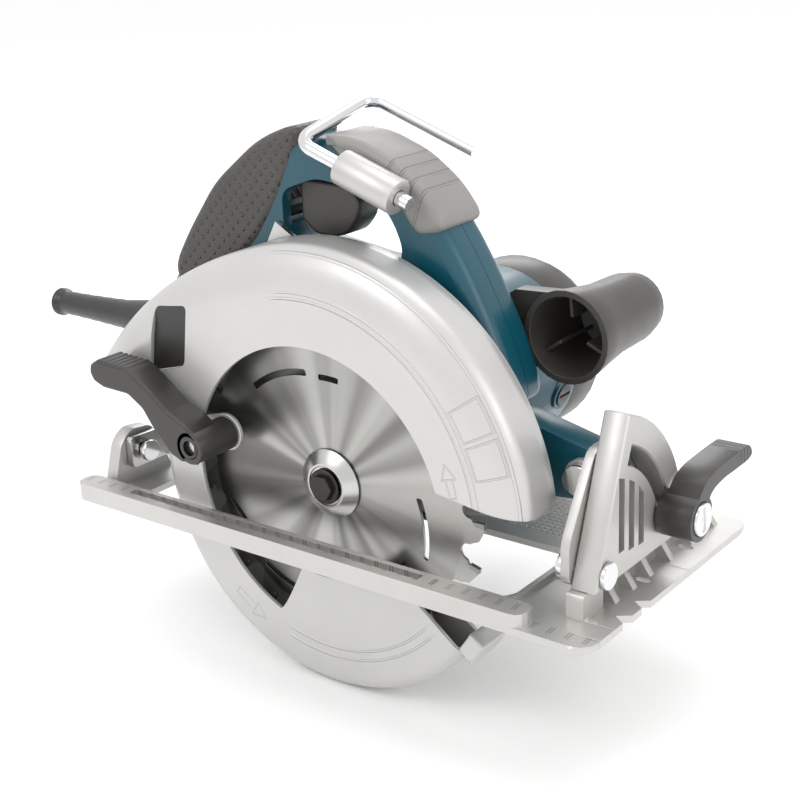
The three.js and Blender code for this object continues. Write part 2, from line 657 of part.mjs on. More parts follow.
const fanBlades = Array.from({ length: 9 }, (_, i) => {
  const blade = box([12, fanRight + 2, -1], [fanRadius, fanRight + 12, 1]);
  return moved(blade.rotate([0, 40 * i, 0]), motorX, 0, motorZ);
});
piece("cooling_fan", join(
  ring("y", waist + gap, 13, fanRight, fanRight + 12, motorCentre),
  ring("y", 12, fanRadius, fanRight, fanRight + 2.5, motorCentre),
  ...fanBlades,
), blackPlastic);
const frontBearing = 13;
const rearBearing = 11;
piece("armature_front_bearing", ring("y", waist + slip, frontBearing,
  frontBearingRight, frontBearingRight + motorBearingWidth, motorCentre), steel);
piece("armature_rear_bearing", ring("y", shaft + slip, rearBearing,
  rearBearingRight, rearBearingRight + motorBearingWidth + 1, motorCentre), steel);

// ---------------------------------------------------------------- gear housing

const nose = ring("y", 20 + gap, hubBoss, flangeLeft + 0.8, housingRight + 1, [0, 0, 0], 40);
const gearDrum = 31.6;
const gearWall = 2.2;
const frontWall = 3.5;
const plateRight = frontBearingRight;
const drumWall = disc("y", gearDrum, housingRight, housingLeft, [0, 0, 0], 32);
const motorDisc = disc("y", motorRadius, housingLeft - 11, housingLeft, motorCentre, 40);
const mountFlange = disc("y", 40, housingRight, housingRight + frontWall, [6, 0, 18], 28);
const flangeNeck = disc("y", 30, housingRight, housingLeft - 10, [12, 0, 30], 24);
const frontArm = slab("y", [
  [30, 2], [94, 6], ...arc(depthX, depthZ, armEnd, -80, 80, 8), [94, 43], [30, 44],
], armRight, housingLeft);
const webbing = slab("y", [[34, -10], [90, 8], [90, 40], [34, 46]], armRight, housingLeft);
const armHole = disc("y", depthPin + slip, armRight - 1, housingLeft + 1, [depthX, 0, depthZ], 20);
const drumHollow = disc("y", gearDrum - gearWall, housingRight + frontWall, housingLeft + 1, [0, 0, 0], 32);
const pinionHollow = disc("y", 14, housingRight + frontWall, housingLeft + 1, motorCentre, 28);
const plateSeat = disc("y", motorRadius - motorWall, plateRight - gap, housingLeft + 1, motorCentre, 40);
const lockY = gearRight + gearWidth / 2 - 1;
const lockZ = -16;
const lockTip = Math.sqrt(gearDrum ** 2 - lockZ ** 2) - 0.4;
const lockPin = 1.5;
const lockHole = disc("x", lockPin + slip, 20, gearDrum + 4, [0, lockY, lockZ], 12);
piece("gear_housing", cut(
  join(drumWall, nose, motorDisc, mountFlange, flangeNeck, frontArm, webbing),
  drumHollow, pinionHollow, plateSeat, armHole, lockHole,
  disc("y", 20 + gap, flangeLeft, housingRight + frontWall + 1, [0, 0, 0], 40),
  ...guardScrews.map(([x, z]) => disc("y", 2.3, housingRight - 1, housingRight + 4, [x, 0, z], 12)),
), bluePlastic);

const plateFit = gap + 0.05;
piece("bearing_plate", cut(
  join(
    disc("y", gearDrum - gearWall - plateFit, plateRight, housingLeft - gap, [0, 0, 0], 32),
    disc("y", motorRadius - motorWall - plateFit, plateRight, housingLeft - gap, motorCentre, 40),
  ),
  disc("y", frontBearing + gap, plateRight - 1, housingLeft + 1, motorCentre, 32),
  disc("y", tailSeat + slip, plateRight - 1, tailEnd + slip, [0, 0, 0], 24),
), castAlloy);

// ---------------------------------------------------------------- motor

const aroundMotor = (angle, radius) => [
  motorX + radius * Math.cos(radians(angle)), motorZ + radius * Math.sin(radians(angle))];
const motorHollow = motorRadius - motorWall;
const motorShell = ring("y", motorHollow, motorRadius, motorRight, motorLeft, motorCentre, 40);
const auxBossAt = 42;
const [auxBossX, auxBossZ] = aroundMotor(auxBossAt, motorRadius + 6);
const brushY = (commutatorRight + commutatorLeft) / 2;
const brushAngles = [-15, 165];
const spoke = (axisStart, axisEnd, half, angle) => moved(
  box([axisStart, brushY - half, -half], [axisEnd, brushY + half, half]).rotate([0, -angle, 0]),
  motorX, 0, motorZ);
const spokeDisc = (from, to, radius, angle) => moved(
  disc("x", radius, from, to, [0, brushY, 0], 20).rotate([0, -angle, 0]), motorX, 0, motorZ);
const ventSlot = (angle) => moved(
  box([motorRadius - 8, 98, -1.5], [motorRadius + 5, 114, 1.5]).rotate([0, -angle, 0]),
  motorX, 0, motorZ);
const auxRight = handleLeft + 1.7;
const auxPadRight = auxRight + 13;
const auxPad = disc("y", 11, auxPadRight, auxPadRight + 24, [auxBossX, 0, auxBossZ], 24);
piece("motor_housing", cut(
  join(
    motorShell,
    cut(auxPad, disc("y", motorRadius - 1, motorRight, motorLeft, motorCentre, 40)),
    ...brushAngles.map((angle) => spokeDisc(motorRadius - 2, motorRadius + 1.5, 9, angle)),
  ),
  ...brushAngles.map((angle) => spokeDisc(commutatorRadius, motorRadius + 4, 6.5 + gap, angle)),
  disc("y", 2.6, auxPadRight - 1, auxPadRight + 20, [auxBossX, 0, auxBossZ], 12),
  ...[-70, -55, -40, 195, 210, 225].map(ventSlot),
), bluePlastic);

brushAngles.forEach((angle, i) => {
  const side = i === 0 ? "front" : "rear";
  const holderFrom = commutatorRadius + 9;
  const driverSlot = box([motorRadius + 1, brushY - 5, -0.8], [motorRadius + 4, brushY + 5, 0.8]);
  piece(`brush_holder_${side}`, spoke(holderFrom, motorRadius - 6, 4, angle), copper);
  piece(`carbon_brush_${side}`,
    spoke(commutatorRadius + gap, holderFrom - gap, 3, angle), blackSteel);
  piece(`brush_cap_${side}`, cut(
    spokeDisc(motorRadius - 5.5, motorRadius + 2.2, 6.5, angle),
    moved(driverSlot.rotate([0, -angle, 0]), motorX, 0, motorZ),
  ), blackPlastic);
});

piece("stator",
  ring("y", coreRadius + 1, motorHollow - gap, coreRight, coreLeft, motorCentre, 32), laminations);

const capBlend = 9;
const capVent = (angle) => moved(
  box([18, endCapLeft - 12, -1.6], [36, endCapLeft + 1, 1.6]).rotate([0, -angle, 0]),
  motorX, 0, motorZ);
const capShell = cut(
  turned("y", [
    [0, motorLeft + gap], [motorRadius, motorLeft + gap], [motorRadius, endCapLeft - 16],
    [motorRadius - 3, endCapLeft - capBlend], [motorRadius - 11, endCapLeft - 2],
    [motorRadius - 20, endCapLeft], [0, endCapLeft],
  ], motorCentre, 40),
  turned("y", [
    [0, motorLeft - 1], [motorHollow, motorLeft - 1], [motorHollow, endCapLeft - 18],
    [motorRadius - 14, endCapLeft - 5], [0, endCapLeft - 5],
  ], motorCentre, 32),
);
piece("motor_end_cap", cut(
  join(capShell,
    ring("y", rearBearing + gap, rearBearing + 4, rearBearingRight, endCapLeft - 4, motorCentre, 32)),
  ...Array.from({ length: 8 }, (_, i) => capVent(22.5 + 45 * i)),
), darkPlastic);

// ---------------------------------------------------------------- handle

const ringClear = motorRadius + 1;
const handleRear = -150;
const handleOutline = eased([
  [30, 47.5], [95, 47.5], [90, 68], [81, 89], [70, 110], [59, 128], [46, 144], [29, 156.5], [8, 164.5],
  [-30, 168], [-54, 160], [-84, 138], [-107, 112], [-121, 90], [-132, 74], [handleRear, 64],
  [handleRear, 40], [-128, 28], [-86, 19], [-20, 14],
], 9, 2);
const fingerHole = eased([
  [-45, 111], [-96, 77], [-107, 64], [-97, 50], [-54, 49], [-47, 65], [-26, 88], [0, 94],
  [12, 95], [6, 99],
], 4, 2);
const triggerHole = eased([
  [-40, 120], [-35, 114], [10, 107], [30, 108], [35, 118], [29, 132], [18, 144], [-18, 148], [-40, 140],
], 4, 2);
const triggerOutline = eased([
  [-34, 146], [-4, 144], [4, 137], [2, 128], [-5, 120], [-14, 117.5], [-26, 118], [-34, 125],
], 3, 2);
const pull = [-Math.cos(radians(triggerAngle)), Math.sin(radians(triggerAngle))];
const shifted = (outline, distance) =>
  outline.map(([x, z]) => [x + pull[0] * distance, z + pull[1] * distance]);
const triggerHalf = 8.5;
const switchAt = [-58, 124];
const switchSize = [15, 8, 10];
const turnedBox = (extra) => {
  const [w, d, h] = switchSize.map((half) => half + extra);
  return moved(box([-w, -d, -h], [w, d, h]).rotate([0, -45, 0]), switchAt[0], handleY, switchAt[1]);
};
const triggerRoom = [0, 0.5, 1].map((share) => slab("y",
  grown(shifted(triggerOutline, share * triggerTravel), slip),
  handleY - triggerHalf - slip, handleY + triggerHalf + slip));
const cordZ = 52;
const sleeveRadius = 8.8;
const sleeveDepth = 18;
const cordBore = disc("x", sleeveRadius + slip,
  handleRear - 5, handleRear + sleeveDepth + 1, [0, handleY, cordZ]);
const guideBoltAt = arc(depthX, depthZ, guideRadius, guideLow, 0, 1)[0];
const handleBody = cut(
  slab("y", handleOutline, handleRight, handleLeft,
    { holes: [fingerHole, triggerHole], bevel: 2.6, bevelSteps: 1 }),
  disc("y", ringClear, handleRight - 1, handleLeft + 1, motorCentre, 64),
  disc("y", gearDrum + gap, handleRight - 1, handleLeft + 1, [0, 0, 0], 48),
  turnedBox(gap), ...triggerRoom, cordBore,
  disc("y", guideBolt + gap, handleRight - 1, handleLeft + 1, [guideBoltAt[0], 0, guideBoltAt[1]], 16),
);
const seam = gap / 2;
const leftOfSeam = box([-200, handleY - seam, -40], [150, handleLeft + 20, 220]);
const rightOfSeam = box([-200, handleRight - 20, -40], [150, handleY + seam, 220]);
const handleScrews = [[-122, 44], [80, 70], [-8, 156]];
const screwHoles = handleScrews.map(([x, z]) =>
  disc("y", 2.4, handleRight + 4, handleLeft + 1, [x, 0, z], 12));
const headHoles = handleScrews.map(([x, z]) =>
  disc("y", 4.4, handleLeft - 7, handleLeft + 1, [x, 0, z], 16));
const screwedHandle = cut(handleBody, ...screwHoles, ...headHoles);
piece("handle_right_shell", cut(screwedHandle, leftOfSeam), bluePlastic);
piece("handle_left_shell", cut(screwedHandle, rightOfSeam), bluePlastic);
handleScrews.forEach(([x, z], i) => piece(`handle_screw_${i + 1}`,
  screw(4, 3, 2, handleLeft - 3.5, handleRight + 6, [x, 0, z]), steel));

const overHandle = (outline) => cut(
  slab("y", outline, handleRight - skin, handleLeft + skin),
  slab("y", grown(handleOutline, gap), handleRight - gap, handleLeft + gap),
);
piece("rubber_grip", overHandle([
  [-22, 172], [-34, 173], [-57, 164], [-89, 140], [-111, 112], [-124, 92], [-118, 82], [-108, 86],
  [-84, 94], [-58, 108], [-40, 132],
]), rubber);
piece("front_grip_insert", overHandle([
  [-12, 172], [10, 171], [32, 162], [51, 149], [62, 133], [52, 127], [40, 125], [31, 138], [8, 155],
]), greyPlastic);

piece("trigger", slab("y", triggerOutline,
  handleY - triggerHalf, handleY + triggerHalf, { bevel: 1, bevelSteps: 1 }), darkPlastic);
piece("trigger_switch", turnedBox(0), blackPlastic);

// ---------------------------------------------------------------- cord guard

const cordHole = 4.2;
piece("cord_guard", turned("x", [
  [cordHole, sleeveDepth], [sleeveRadius, sleeveDepth], [sleeveRadius, -gap], [11.5, -gap], [11, -8],
  [8.2, -26], [7, -56], [6.6, -82], [8.2, -84], [8.2, -88], [cordHole, -88],
], [handleRear, handleY, cordZ]), blackPlastic);

// ---------------------------------------------------------------- rafter hook

const barrelRadius = 8.6;
const barrelY = handleRight - skin - gap - barrelRadius;
const hookRod = 3.5;
const hookTilt = 20;
const barrelAt = [25, barrelY, 151.5];
const hookFrame = (solid) => moved(solid.rotate([0, hookTilt, 0]), ...barrelAt);
const barrelHalf = 17;
piece("hook_barrel", cut(
  join(
    hookFrame(disc("x", barrelRadius, -barrelHalf, barrelHalf, [0, 0, 0], 32)),
    hookFrame(box([-15, 0, -6], [15, handleRight - skin - 2 * gap - barrelY, 6])),
  ),
  hookFrame(disc("x", hookRod + slip, -barrelHalf - 1, barrelHalf + 1, [0, 0, 0], 24)),
), castAlloy);

const hookBack = -46;
const hookAcross = handleWidth + 22;
const hookRise = 17;
const hookCorner = 9;
const hookPath = new THREE.CurvePath();
const across = (distance) => [
  distance * Math.cos(radians(hookRise)), distance * Math.sin(radians(hookRise))];
const hookPoint = (x, distance) => new THREE.Vector3(x, ...across(distance));
hookPath.add(new THREE.LineCurve3(hookPoint(barrelHalf + 7, 0), hookPoint(hookBack + hookCorner, 0)));
hookPath.add(new THREE.QuadraticBezierCurve3(
  hookPoint(hookBack + hookCorner, 0), hookPoint(hookBack, 0), hookPoint(hookBack, hookCorner)));
hookPath.add(new THREE.LineCurve3(
  hookPoint(hookBack, hookCorner), hookPoint(hookBack, hookAcross - hookCorner)));
hookPath.add(new THREE.QuadraticBezierCurve3(
  hookPoint(hookBack, hookAcross - hookCorner), hookPoint(hookBack, hookAcross),
  hookPoint(hookBack + hookCorner, hookAcross)));
hookPath.add(new THREE.LineCurve3(
  hookPoint(hookBack + hookCorner, hookAcross), hookPoint(20, hookAcross)));
piece("rafter_hook", hookFrame(rod(hookPath, hookRod, 36, 8)), chrome);

// ---------------------------------------------------------------- auxiliary handle

const auxLeft = auxRight + 73;
const auxX = 103;
const auxZ = 77;
const auxOuter = [
  [0, auxRight], [23, auxRight], [21, auxRight + 14], [18.5, auxRight + 34], [18, auxLeft - 16],
  [16, auxLeft - 6], [11, auxLeft - 1], [0, auxLeft],
];
const auxInner = [
  [0, auxRight - 1], [20, auxRight - 1], [18, auxRight + 14], [15.5, auxRight + 40], [0, auxRight + 46],
];
const auxNeck = slab("y", [
  [auxBossX - 8, auxBossZ - 10], [auxBossX + 9, auxBossZ - 12], [auxX - 6, auxZ - 18], [auxX, auxZ + 20],
  [auxBossX + 22, auxBossZ + 26], [auxBossX + 2, auxBossZ + 13],
], auxRight + 4, auxPadRight - gap);
const besideMotor = disc("y", motorRadius + gap, auxRight, auxLeft, motorCentre, 40);
piece("auxiliary_handle", cut(
  join(turned("y", auxOuter, [auxX, 0, auxZ], 28), cut(auxNeck, besideMotor)),
  turned("y", auxInner, [auxX, 0, auxZ], 24),
  disc("y", 2.8, auxRight, auxPadRight, [auxBossX, 0, auxBossZ], 12),
), darkPlastic);
piece("auxiliary_handle_screw",
  screw(4.6, 3, 2.3, auxRight + 0.7, auxPadRight + 16, [auxBossX, 0, auxBossZ]), steel);

// ---------------------------------------------------------------- depth clamp

const depthLeverRight = handleLeft + gap;
const depthLeverLeft = depthLeverRight + 9;
const [depthBoltX, depthBoltZ] = guideBoltAt;
piece("depth_clamp_bolt", screw(7, guideBoltHead, guideBolt, guardLeft + slip, depthLeverLeft - 3,
  [depthBoltX, 0, depthBoltZ]), steel);
piece("depth_lever", cut(
  join(
    disc("y", 9, depthLeverRight, depthLeverLeft, [depthBoltX, 0, depthBoltZ], 24),
    slab("y", eased([[4, -7], [4, 7], [-30, 10], [-58, 22], [-62, 12], [-34, -4]], 4, 2)
      .map(([x, z]) => [depthBoltX + x, depthBoltZ + z]), depthLeverRight + 2, depthLeverLeft),
  ),
  disc("y", guideBolt + slip,
    depthLeverRight - 1, depthLeverLeft - 3 + slip, [depthBoltX, 0, depthBoltZ], 16),
), blackPlastic);

// ---------------------------------------------------------------- spindle lock

piece("spindle_lock_button", turned("x", [
  [0, lockTip], [lockPin, lockTip], [lockPin, lockTip + 9], [5, lockTip + 9],
  [5, lockTip + 14], [0, lockTip + 14],
], [0, lockY, lockZ]), blackPlastic);

export default saw;
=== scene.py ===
# %% [markdown]
# # A hand-held circular saw
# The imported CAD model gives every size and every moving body. This lesson keeps those places and builds
# the saw's looks round them: pressed guards, a ground blade, a cast shoe, moulded grips.
# Lengths are written in millimetres from the arbor, the shaft that the blade turns on, because that is how
# a maker would measure this tool.
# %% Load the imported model
import math
import bmesh
import bpy
from mathutils import Matrix, Vector


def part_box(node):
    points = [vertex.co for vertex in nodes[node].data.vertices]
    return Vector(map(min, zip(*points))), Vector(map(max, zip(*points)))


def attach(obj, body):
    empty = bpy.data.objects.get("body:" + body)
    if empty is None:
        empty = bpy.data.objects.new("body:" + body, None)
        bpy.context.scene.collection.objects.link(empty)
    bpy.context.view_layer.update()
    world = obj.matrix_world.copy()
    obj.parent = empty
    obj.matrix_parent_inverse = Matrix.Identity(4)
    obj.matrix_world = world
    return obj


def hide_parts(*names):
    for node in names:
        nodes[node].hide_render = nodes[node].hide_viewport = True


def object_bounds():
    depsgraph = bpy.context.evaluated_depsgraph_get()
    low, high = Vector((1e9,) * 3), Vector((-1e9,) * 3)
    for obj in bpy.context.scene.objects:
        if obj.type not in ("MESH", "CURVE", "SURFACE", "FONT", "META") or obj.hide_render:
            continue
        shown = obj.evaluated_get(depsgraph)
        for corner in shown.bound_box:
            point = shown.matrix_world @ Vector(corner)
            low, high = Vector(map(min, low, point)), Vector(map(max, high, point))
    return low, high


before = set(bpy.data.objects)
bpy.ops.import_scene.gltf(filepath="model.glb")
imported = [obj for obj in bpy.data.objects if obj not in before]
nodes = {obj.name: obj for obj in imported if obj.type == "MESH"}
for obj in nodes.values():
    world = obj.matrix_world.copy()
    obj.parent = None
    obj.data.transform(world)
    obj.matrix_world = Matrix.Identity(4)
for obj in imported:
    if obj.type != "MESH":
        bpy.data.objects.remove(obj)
cad_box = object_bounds()
ARBOR = (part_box("saw_blade")[0].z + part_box("saw_blade")[1].z) / 2


def mm(x, y, z):
    """Millimetres from the arbor, as metres in the frame that everything shares."""
    return Vector((x / 1000, y / 1000, z / 1000 + ARBOR))


# %% [markdown]
# ## Camera
# The camera comes first, so that every later choice can be judged through it. It is given by an azimuth,
# an elevation and a slight roll about the point that it looks at, and turned into a matrix of three axes.
# %% Place the camera
azimuth, elevation, roll = map(math.radians, (38.28, 19.53, -2.53))
back = Vector((math.sin(azimuth) * math.cos(elevation), -math.cos(azimuth) * math.cos(elevation),
               math.sin(elevation)))
level = Vector((math.cos(azimuth), math.sin(azimuth), 0))
side = level * math.cos(roll) + back.cross(level) * math.sin(roll)
turn = Matrix((side, back.cross(side), back)).transposed().to_4x4()
camera = bpy.data.objects.new("camera", bpy.data.cameras.new("camera"))
camera.matrix_world = Matrix.Translation(Vector((0.0448, 0, 0.0838)) + back * 0.7) @ turn
camera.data.lens = 67
camera.data.sensor_width = 36
bpy.context.scene.collection.objects.link(camera)
bpy.context.scene.camera = camera
bpy.context.scene.view_settings.view_transform = "Standard"
print("camera at", [round(c, 3) for c in camera.matrix_world.translation])

# %% [markdown]
# ## Shader sums
# Material maths reads best as ordinary expressions. This class wraps one socket, and each operator adds the
# Math node that it stands for. Any other node comes from one method, which takes its type, its settings and
# its inputs.
# %% A socket that does sums
class Wire:
    """One socket of a material: a + b, 1 - a and so on add Math nodes."""

    def __init__(self, socket):
        self.socket = socket
        self.tree = socket.id_data

    def node(self, kind, settings=None, inputs=None, out=0):
        made = self.tree.nodes.new(kind)
        for name, value in (settings or {}).items():
            if name == "stops":
                for stop, (place, grey) in zip(made.color_ramp.elements, value):
                    stop.position, stop.color = place, (grey, grey, grey, 1)
            else:
                setattr(made, name, value)
        for name, value in (inputs or {}).items():
            if isinstance(value, Wire):
                self.tree.links.new(value.socket, made.inputs[name])
            else:
                made.inputs[name].default_value = value
        return Wire(made.outputs[out])

    def maths(self, operation, *values):
        return self.node("ShaderNodeMath", {"operation": operation}, dict(enumerate(values)))

    def __add__(self, other): return self.maths("ADD", self, other)
    def __radd__(self, other): return self.maths("ADD", other, self)
    def __sub__(self, other): return self.maths("SUBTRACT", self, other)
    def __rsub__(self, other): return self.maths("SUBTRACT", other, self)
    def __mul__(self, other): return self.maths("MULTIPLY", self, other)
    def __rmul__(self, other): return self.maths("MULTIPLY", other, self)
    def __truediv__(self, other): return self.maths("DIVIDE", self, other)
    def __rtruediv__(self, other): return self.maths("DIVIDE", other, self)
    def __pow__(self, other): return self.maths("POWER", self, other)
    def __abs__(self): return self.maths("ABSOLUTE", self)
    def wrap(self): return self.maths("FRACT", self)
    def wave(self): return self.maths("SINE", self)
    def least(self, other): return self.maths("MINIMUM", self, other)
    def most(self, other): return self.maths("MAXIMUM", self, other)

    def rise(self, low, high):
        """0 below low, 1 above high and a soft slope between, or the reverse where low is above high."""
        ends = {"From Min": min(low, high), "From Max": max(low, high),
                "To Min": float(low > high), "To Max": float(low < high)}
        return self.node("ShaderNodeMapRange", {"interpolation_type": "SMOOTHSTEP"}, {"Value": self, **ends})

    def line(self, at, half):
        """1 on a thin line where the value is at, fading to 0 half a width away."""
        return abs(self - at).rise(half, half * 0.4)

    def blend(self, first, second):
        """One colour where the value is 0, the other where it is 1."""
        return self.node("ShaderNodeMix", {"data_type": "RGBA"}, {0: self, 6: first, 7: second}, out=2)


print("socket sums ready")

# %% [markdown]
# ## Finishes
# Every finish shares a recipe. A cloudy noise shifts the colour and the gloss a little, as handling and
# moulding do, and a fine grain lifts the surface. A finish may add relief of its own, such as an engraved
# scale, as a height in millimetres worked out from the place on the saw.
# %% The shared finish
class Spot:
    """Where a point of the surface is: its place in millimetres from the arbor, and noises there."""

    def __init__(self, coordinates):
        self.place = coordinates
        self.split = coordinates.tree.nodes.new("ShaderNodeSeparateXYZ")
        coordinates.tree.links.new(coordinates.socket, self.split.inputs[0])
        x, y, z = (Wire(self.split.outputs[i]) for i in range(3))
        self.x, self.y, self.z = x * 1000, y * 1000, z * 1000 - ARBOR * 1000
        self.radius = (self.x * self.x + self.z * self.z) ** 0.5
        self.angle = self.z.maths("ARCTAN2", self.z, self.x) * (180 / math.pi)

    def noise(self, size, detail=2.0, rough=0.5):
        """A noise whose lumps are about size millimetres across, from 0 to 1."""
        return self.place.node("ShaderNodeTexNoise", {}, {
            "Vector": self.place, "Scale": 1000 / size, "Detail": detail, "Roughness": rough})


def finish(name, color, rough, metal=0.0, coat=0.0, cloud=0.12, grain=(1.2, 0.03), relief=None, shade=None,
           gloss=None):
    """A material. relief gives a height in millimetres, shade a darkening mask, gloss an added roughness."""
    material = bpy.data.materials.new(name)
    material.use_nodes = True
    tree = material.node_tree
    shader = tree.nodes["Principled BSDF"]
    spot = Spot(Wire(tree.nodes.new("ShaderNodeTexCoord").outputs["Object"]))
    clouds = spot.noise(28, 3.0)
    dark = tuple(c * (1 - cloud) for c in color) + (1,)
    light = tuple(min(1, c * (1 + cloud)) for c in color) + (1,)
    paint = clouds.blend(dark, light)
    height = spot.noise(grain[0], 3.0) * grain[1]
    if relief:
        height = height + relief(spot)
    if shade:
        mask, deep = shade(spot)
        paint = mask.blend(paint, deep + (1,))
    dull = rough - 0.06 + 0.12 * spot.noise(9, 4.0)
    if gloss:
        dull = dull + gloss(spot)
    bump = height.node("ShaderNodeBump", {}, {"Height": height, "Distance": 0.001, "Strength": 1.0})
    for socket, wire in (("Base Color", paint), ("Roughness", dull), ("Normal", bump)):
        tree.links.new(wire.socket, shader.inputs[socket])
    shader.inputs["Metallic"].default_value = metal
    shader.inputs["Coat Weight"].default_value = coat
    shader.inputs["Coat Roughness"].default_value = 0.25
    return material


print("finish recipe ready")

# %% [markdown]
# ## Guard paint
# Both guards are pressed or cast metal under a satin silver paint. The upper one has a double ridge where
# its flat web meets the rounded shoulder, two framed panels and an arrow. These are a fraction of a
# millimetre high, so they are drawn as relief rather than as geometry.
# %% Silver paint with its pressed marks
def frame_line(across, along, half_across, half_along, width):
    """A thin line round a rectangle centred on zero."""
    edge = (abs(across) - half_across).most(abs(along) - half_along)
    return edge.line(0, width)


def arrow(along, across, shaft, head):
    """The outline of an arrow that points along."""
    stem = (abs(across) - 0.24 * head).most(abs(along + shaft / 2) - shaft / 2)
    point = (along * -1).most(abs(across) * 0.87 + along * 0.49 - 0.44 * head)
    return stem.least(point).line(0, 0.4)


def guard_marks(spot):
    near = spot.y.rise(-4, -7)
    ridge = spot.radius.line(98.5, 0.9) + spot.radius.line(101.5, 0.7) * 0.6
    front = ridge * spot.angle.rise(104, 96)
    panels = sum((frame_line(spot.radius - 110.5, (spot.angle - at) * 1.93, 7.5, 8.2, 0.6)
                  for at in (30, 20)), start=spot.radius * 0)
    mark = arrow((spot.angle - 17) * 1.52, spot.radius - 88, 9, 8)
    bead = spot.radius.line(119.4, 0.8) * spot.angle.rise(104, 96)
    return near * (front * 0.45 - panels * 0.5 - mark * 0.35 + bead * 0.4)


def swing_guard_marks(spot):
    near = spot.y.rise(-10, -11)
    arcs = (spot.radius.line(86, 0.8) + spot.radius.line(91, 0.8)) * spot.angle.rise(-108, -104)
    mark = arrow((spot.angle + 122) * 1.62, spot.radius - 93, 14, 9)
    return near * (arcs * spot.angle.rise(-38, -45) * 0.45 - mark * 0.35)


guard_paint = finish("silver_guard_paint", (0.56, 0.553, 0.545), 0.36, 0.45, coat=0.2, cloud=0.05,
                     grain=(0.7, 0.012), relief=guard_marks)
swing_paint = finish("silver_swing_guard_paint", (0.55, 0.545, 0.535), 0.34, 0.5, coat=0.15, cloud=0.05,
                     grain=(0.7, 0.012), relief=swing_guard_marks)
print("guard finishes:", guard_paint.name, swing_paint.name)

# %% [markdown]
# ## Metals
# The blade is ground while it turns, so its scratches are circles, and light fans out across them from the
# centre. Fine rings of relief give that fan with no special shader, and bright and dim wedges round the arbor
# are painted into its colour as a painted sheen. Castings have a sand-like grain, and their machined faces
# are smoother.
# %% Blade, castings and fittings
def ground_rings(spot):
    rings = spot.radius.node("ShaderNodeTexNoise", {"noise_dimensions": "1D"}, {
        "W": spot.radius * 9, "Scale": 1.0, "Detail": 3.0})
    return rings * 0.006 * spot.radius.rise(82, 79)


def blade_painted_sheen(spot):
    """Painted sheen: bright and dim wedges round the arbor, from a noise that sees only the direction from
    the centre.
    """
    way = spot.place.node("ShaderNodeCombineXYZ", {}, {"X": spot.x / spot.radius, "Y": spot.z / spot.radius})
    fan = way.node("ShaderNodeTexNoise", {}, {"Vector": way, "Scale": 2.3, "Detail": 1.5, "Roughness": 0.7})
    return fan.rise(0.34, 0.66) * spot.radius.rise(81.5, 79.5), (0.17, 0.167, 0.158)


def tooth_band(spot):
    return spot.radius.rise(80, 81.5) * 0.14


def rail_ticks(spot):
    """Ticks every 9 mm in the channel along the shoe's rail."""
    tick = abs((spot.x / 9.0 + 100).wrap() - 0.5).line(0.42, 0.06)
    return tick * spot.y.rise(-30, -29.5) * spot.y.rise(-23.5, -24)


def scale_marks(spot):
    """Ticks along the rail's channel, lines on the toe plate and the tread beside the motor."""
    top = spot.z.rise(-27.5, -26.5)
    rail = rail_ticks(spot) * top * spot.x.rise(-118, -116) * spot.x.rise(84, 82)
    toe = spot.x.rise(152, 153) * (spot.y.line(-24, 0.5) + spot.y.line(-12, 0.5) + spot.y.line(58, 0.5))
    warp = (spot.x * 0.9 + spot.y * 0.9).wave()
    weft = (spot.x * 0.9 - spot.y * 0.9).wave()
    patch = spot.x.rise(38, 40) * spot.x.rise(128, 126) * spot.y.rise(56, 58) * spot.y.rise(112, 110)
    tread = (warp * weft).rise(0.1, 0.6) * patch * spot.z.rise(-28.9, -28.6)
    return tread * 0.9 - rail * 0.7 - toe * 0.35


def scale_shade(spot):
    return rail_ticks(spot) * 0.6, (0.2, 0.19, 0.18)


# The blade's colour carries a painted sheen: dim wedges painted round the arbor.
blade_steel = finish("ground_blade_steel", (0.46, 0.455, 0.435), 0.33, 1.0, cloud=0.04, grain=(0.5, 0.002),
                     relief=ground_rings, shade=blade_painted_sheen, gloss=tooth_band)
cast_shoe = finish("cast_shoe_alloy", (0.56, 0.55, 0.53), 0.4, 0.7, cloud=0.06, grain=(0.6, 0.02),
                   relief=scale_marks, shade=scale_shade)
cast_metal = finish("cast_alloy", (0.54, 0.53, 0.51), 0.42, 0.7, cloud=0.08, grain=(0.8, 0.035))
bright_steel = finish("turned_steel", (0.55, 0.545, 0.53), 0.26, 1.0, cloud=0.05, grain=(0.5, 0.006))
chrome = finish("polished_chrome", (0.72, 0.72, 0.73), 0.13, 1.0, cloud=0.03, grain=(2.5, 0.003))
carbide = finish("carbide_tip", (0.3, 0.3, 0.29), 0.35, 0.9, cloud=0.1, grain=(0.3, 0.02))
black_steel = finish("blackened_steel", (0.055, 0.05, 0.048), 0.38, 0.8, cloud=0.2, grain=(0.5, 0.01))
copper = finish("copper", (0.5, 0.22, 0.1), 0.35, 1.0, grain=(0.6, 0.01))
laminations = finish("laminations", (0.18, 0.18, 0.185), 0.5, 0.8,
                     relief=lambda spot: (spot.y * 6).wave() * 0.05)
print("metals ready:", len(bpy.data.materials), "finishes so far")

# %% [markdown]
# ## Plastics and rubber
# The housings are moulded in a deep teal with a fine satin texture. The grip is a soft overmould covered in
# small round bumps, and the front inlay is a lighter grey with four grooves that follow the handle round.
# %% Moulded finishes
def grip_bumps(spot):
    """Rows of small round bumps, which also run over the rounded back of the grip."""
    warp, weft = ((along + spot.y * 0.7) * (2 * math.pi / 7.4) for along in (spot.x, spot.z))
    return (warp.wave() * weft.wave()).rise(0.3, 0.9) * 0.8


def lever_ribs(spot):
    return sum((spot.y.line(at, 0.9) for at in (92, 95.5, 99, 102.5)), start=spot.x * 0) * -0.6


def inlay_grooves(spot):
    along = spot.x * 0.94 - spot.z * 0.34
    return sum((along.line(at, 0.9) for at in (-26, -19, -12, -5)), start=spot.x * 0) * -0.7


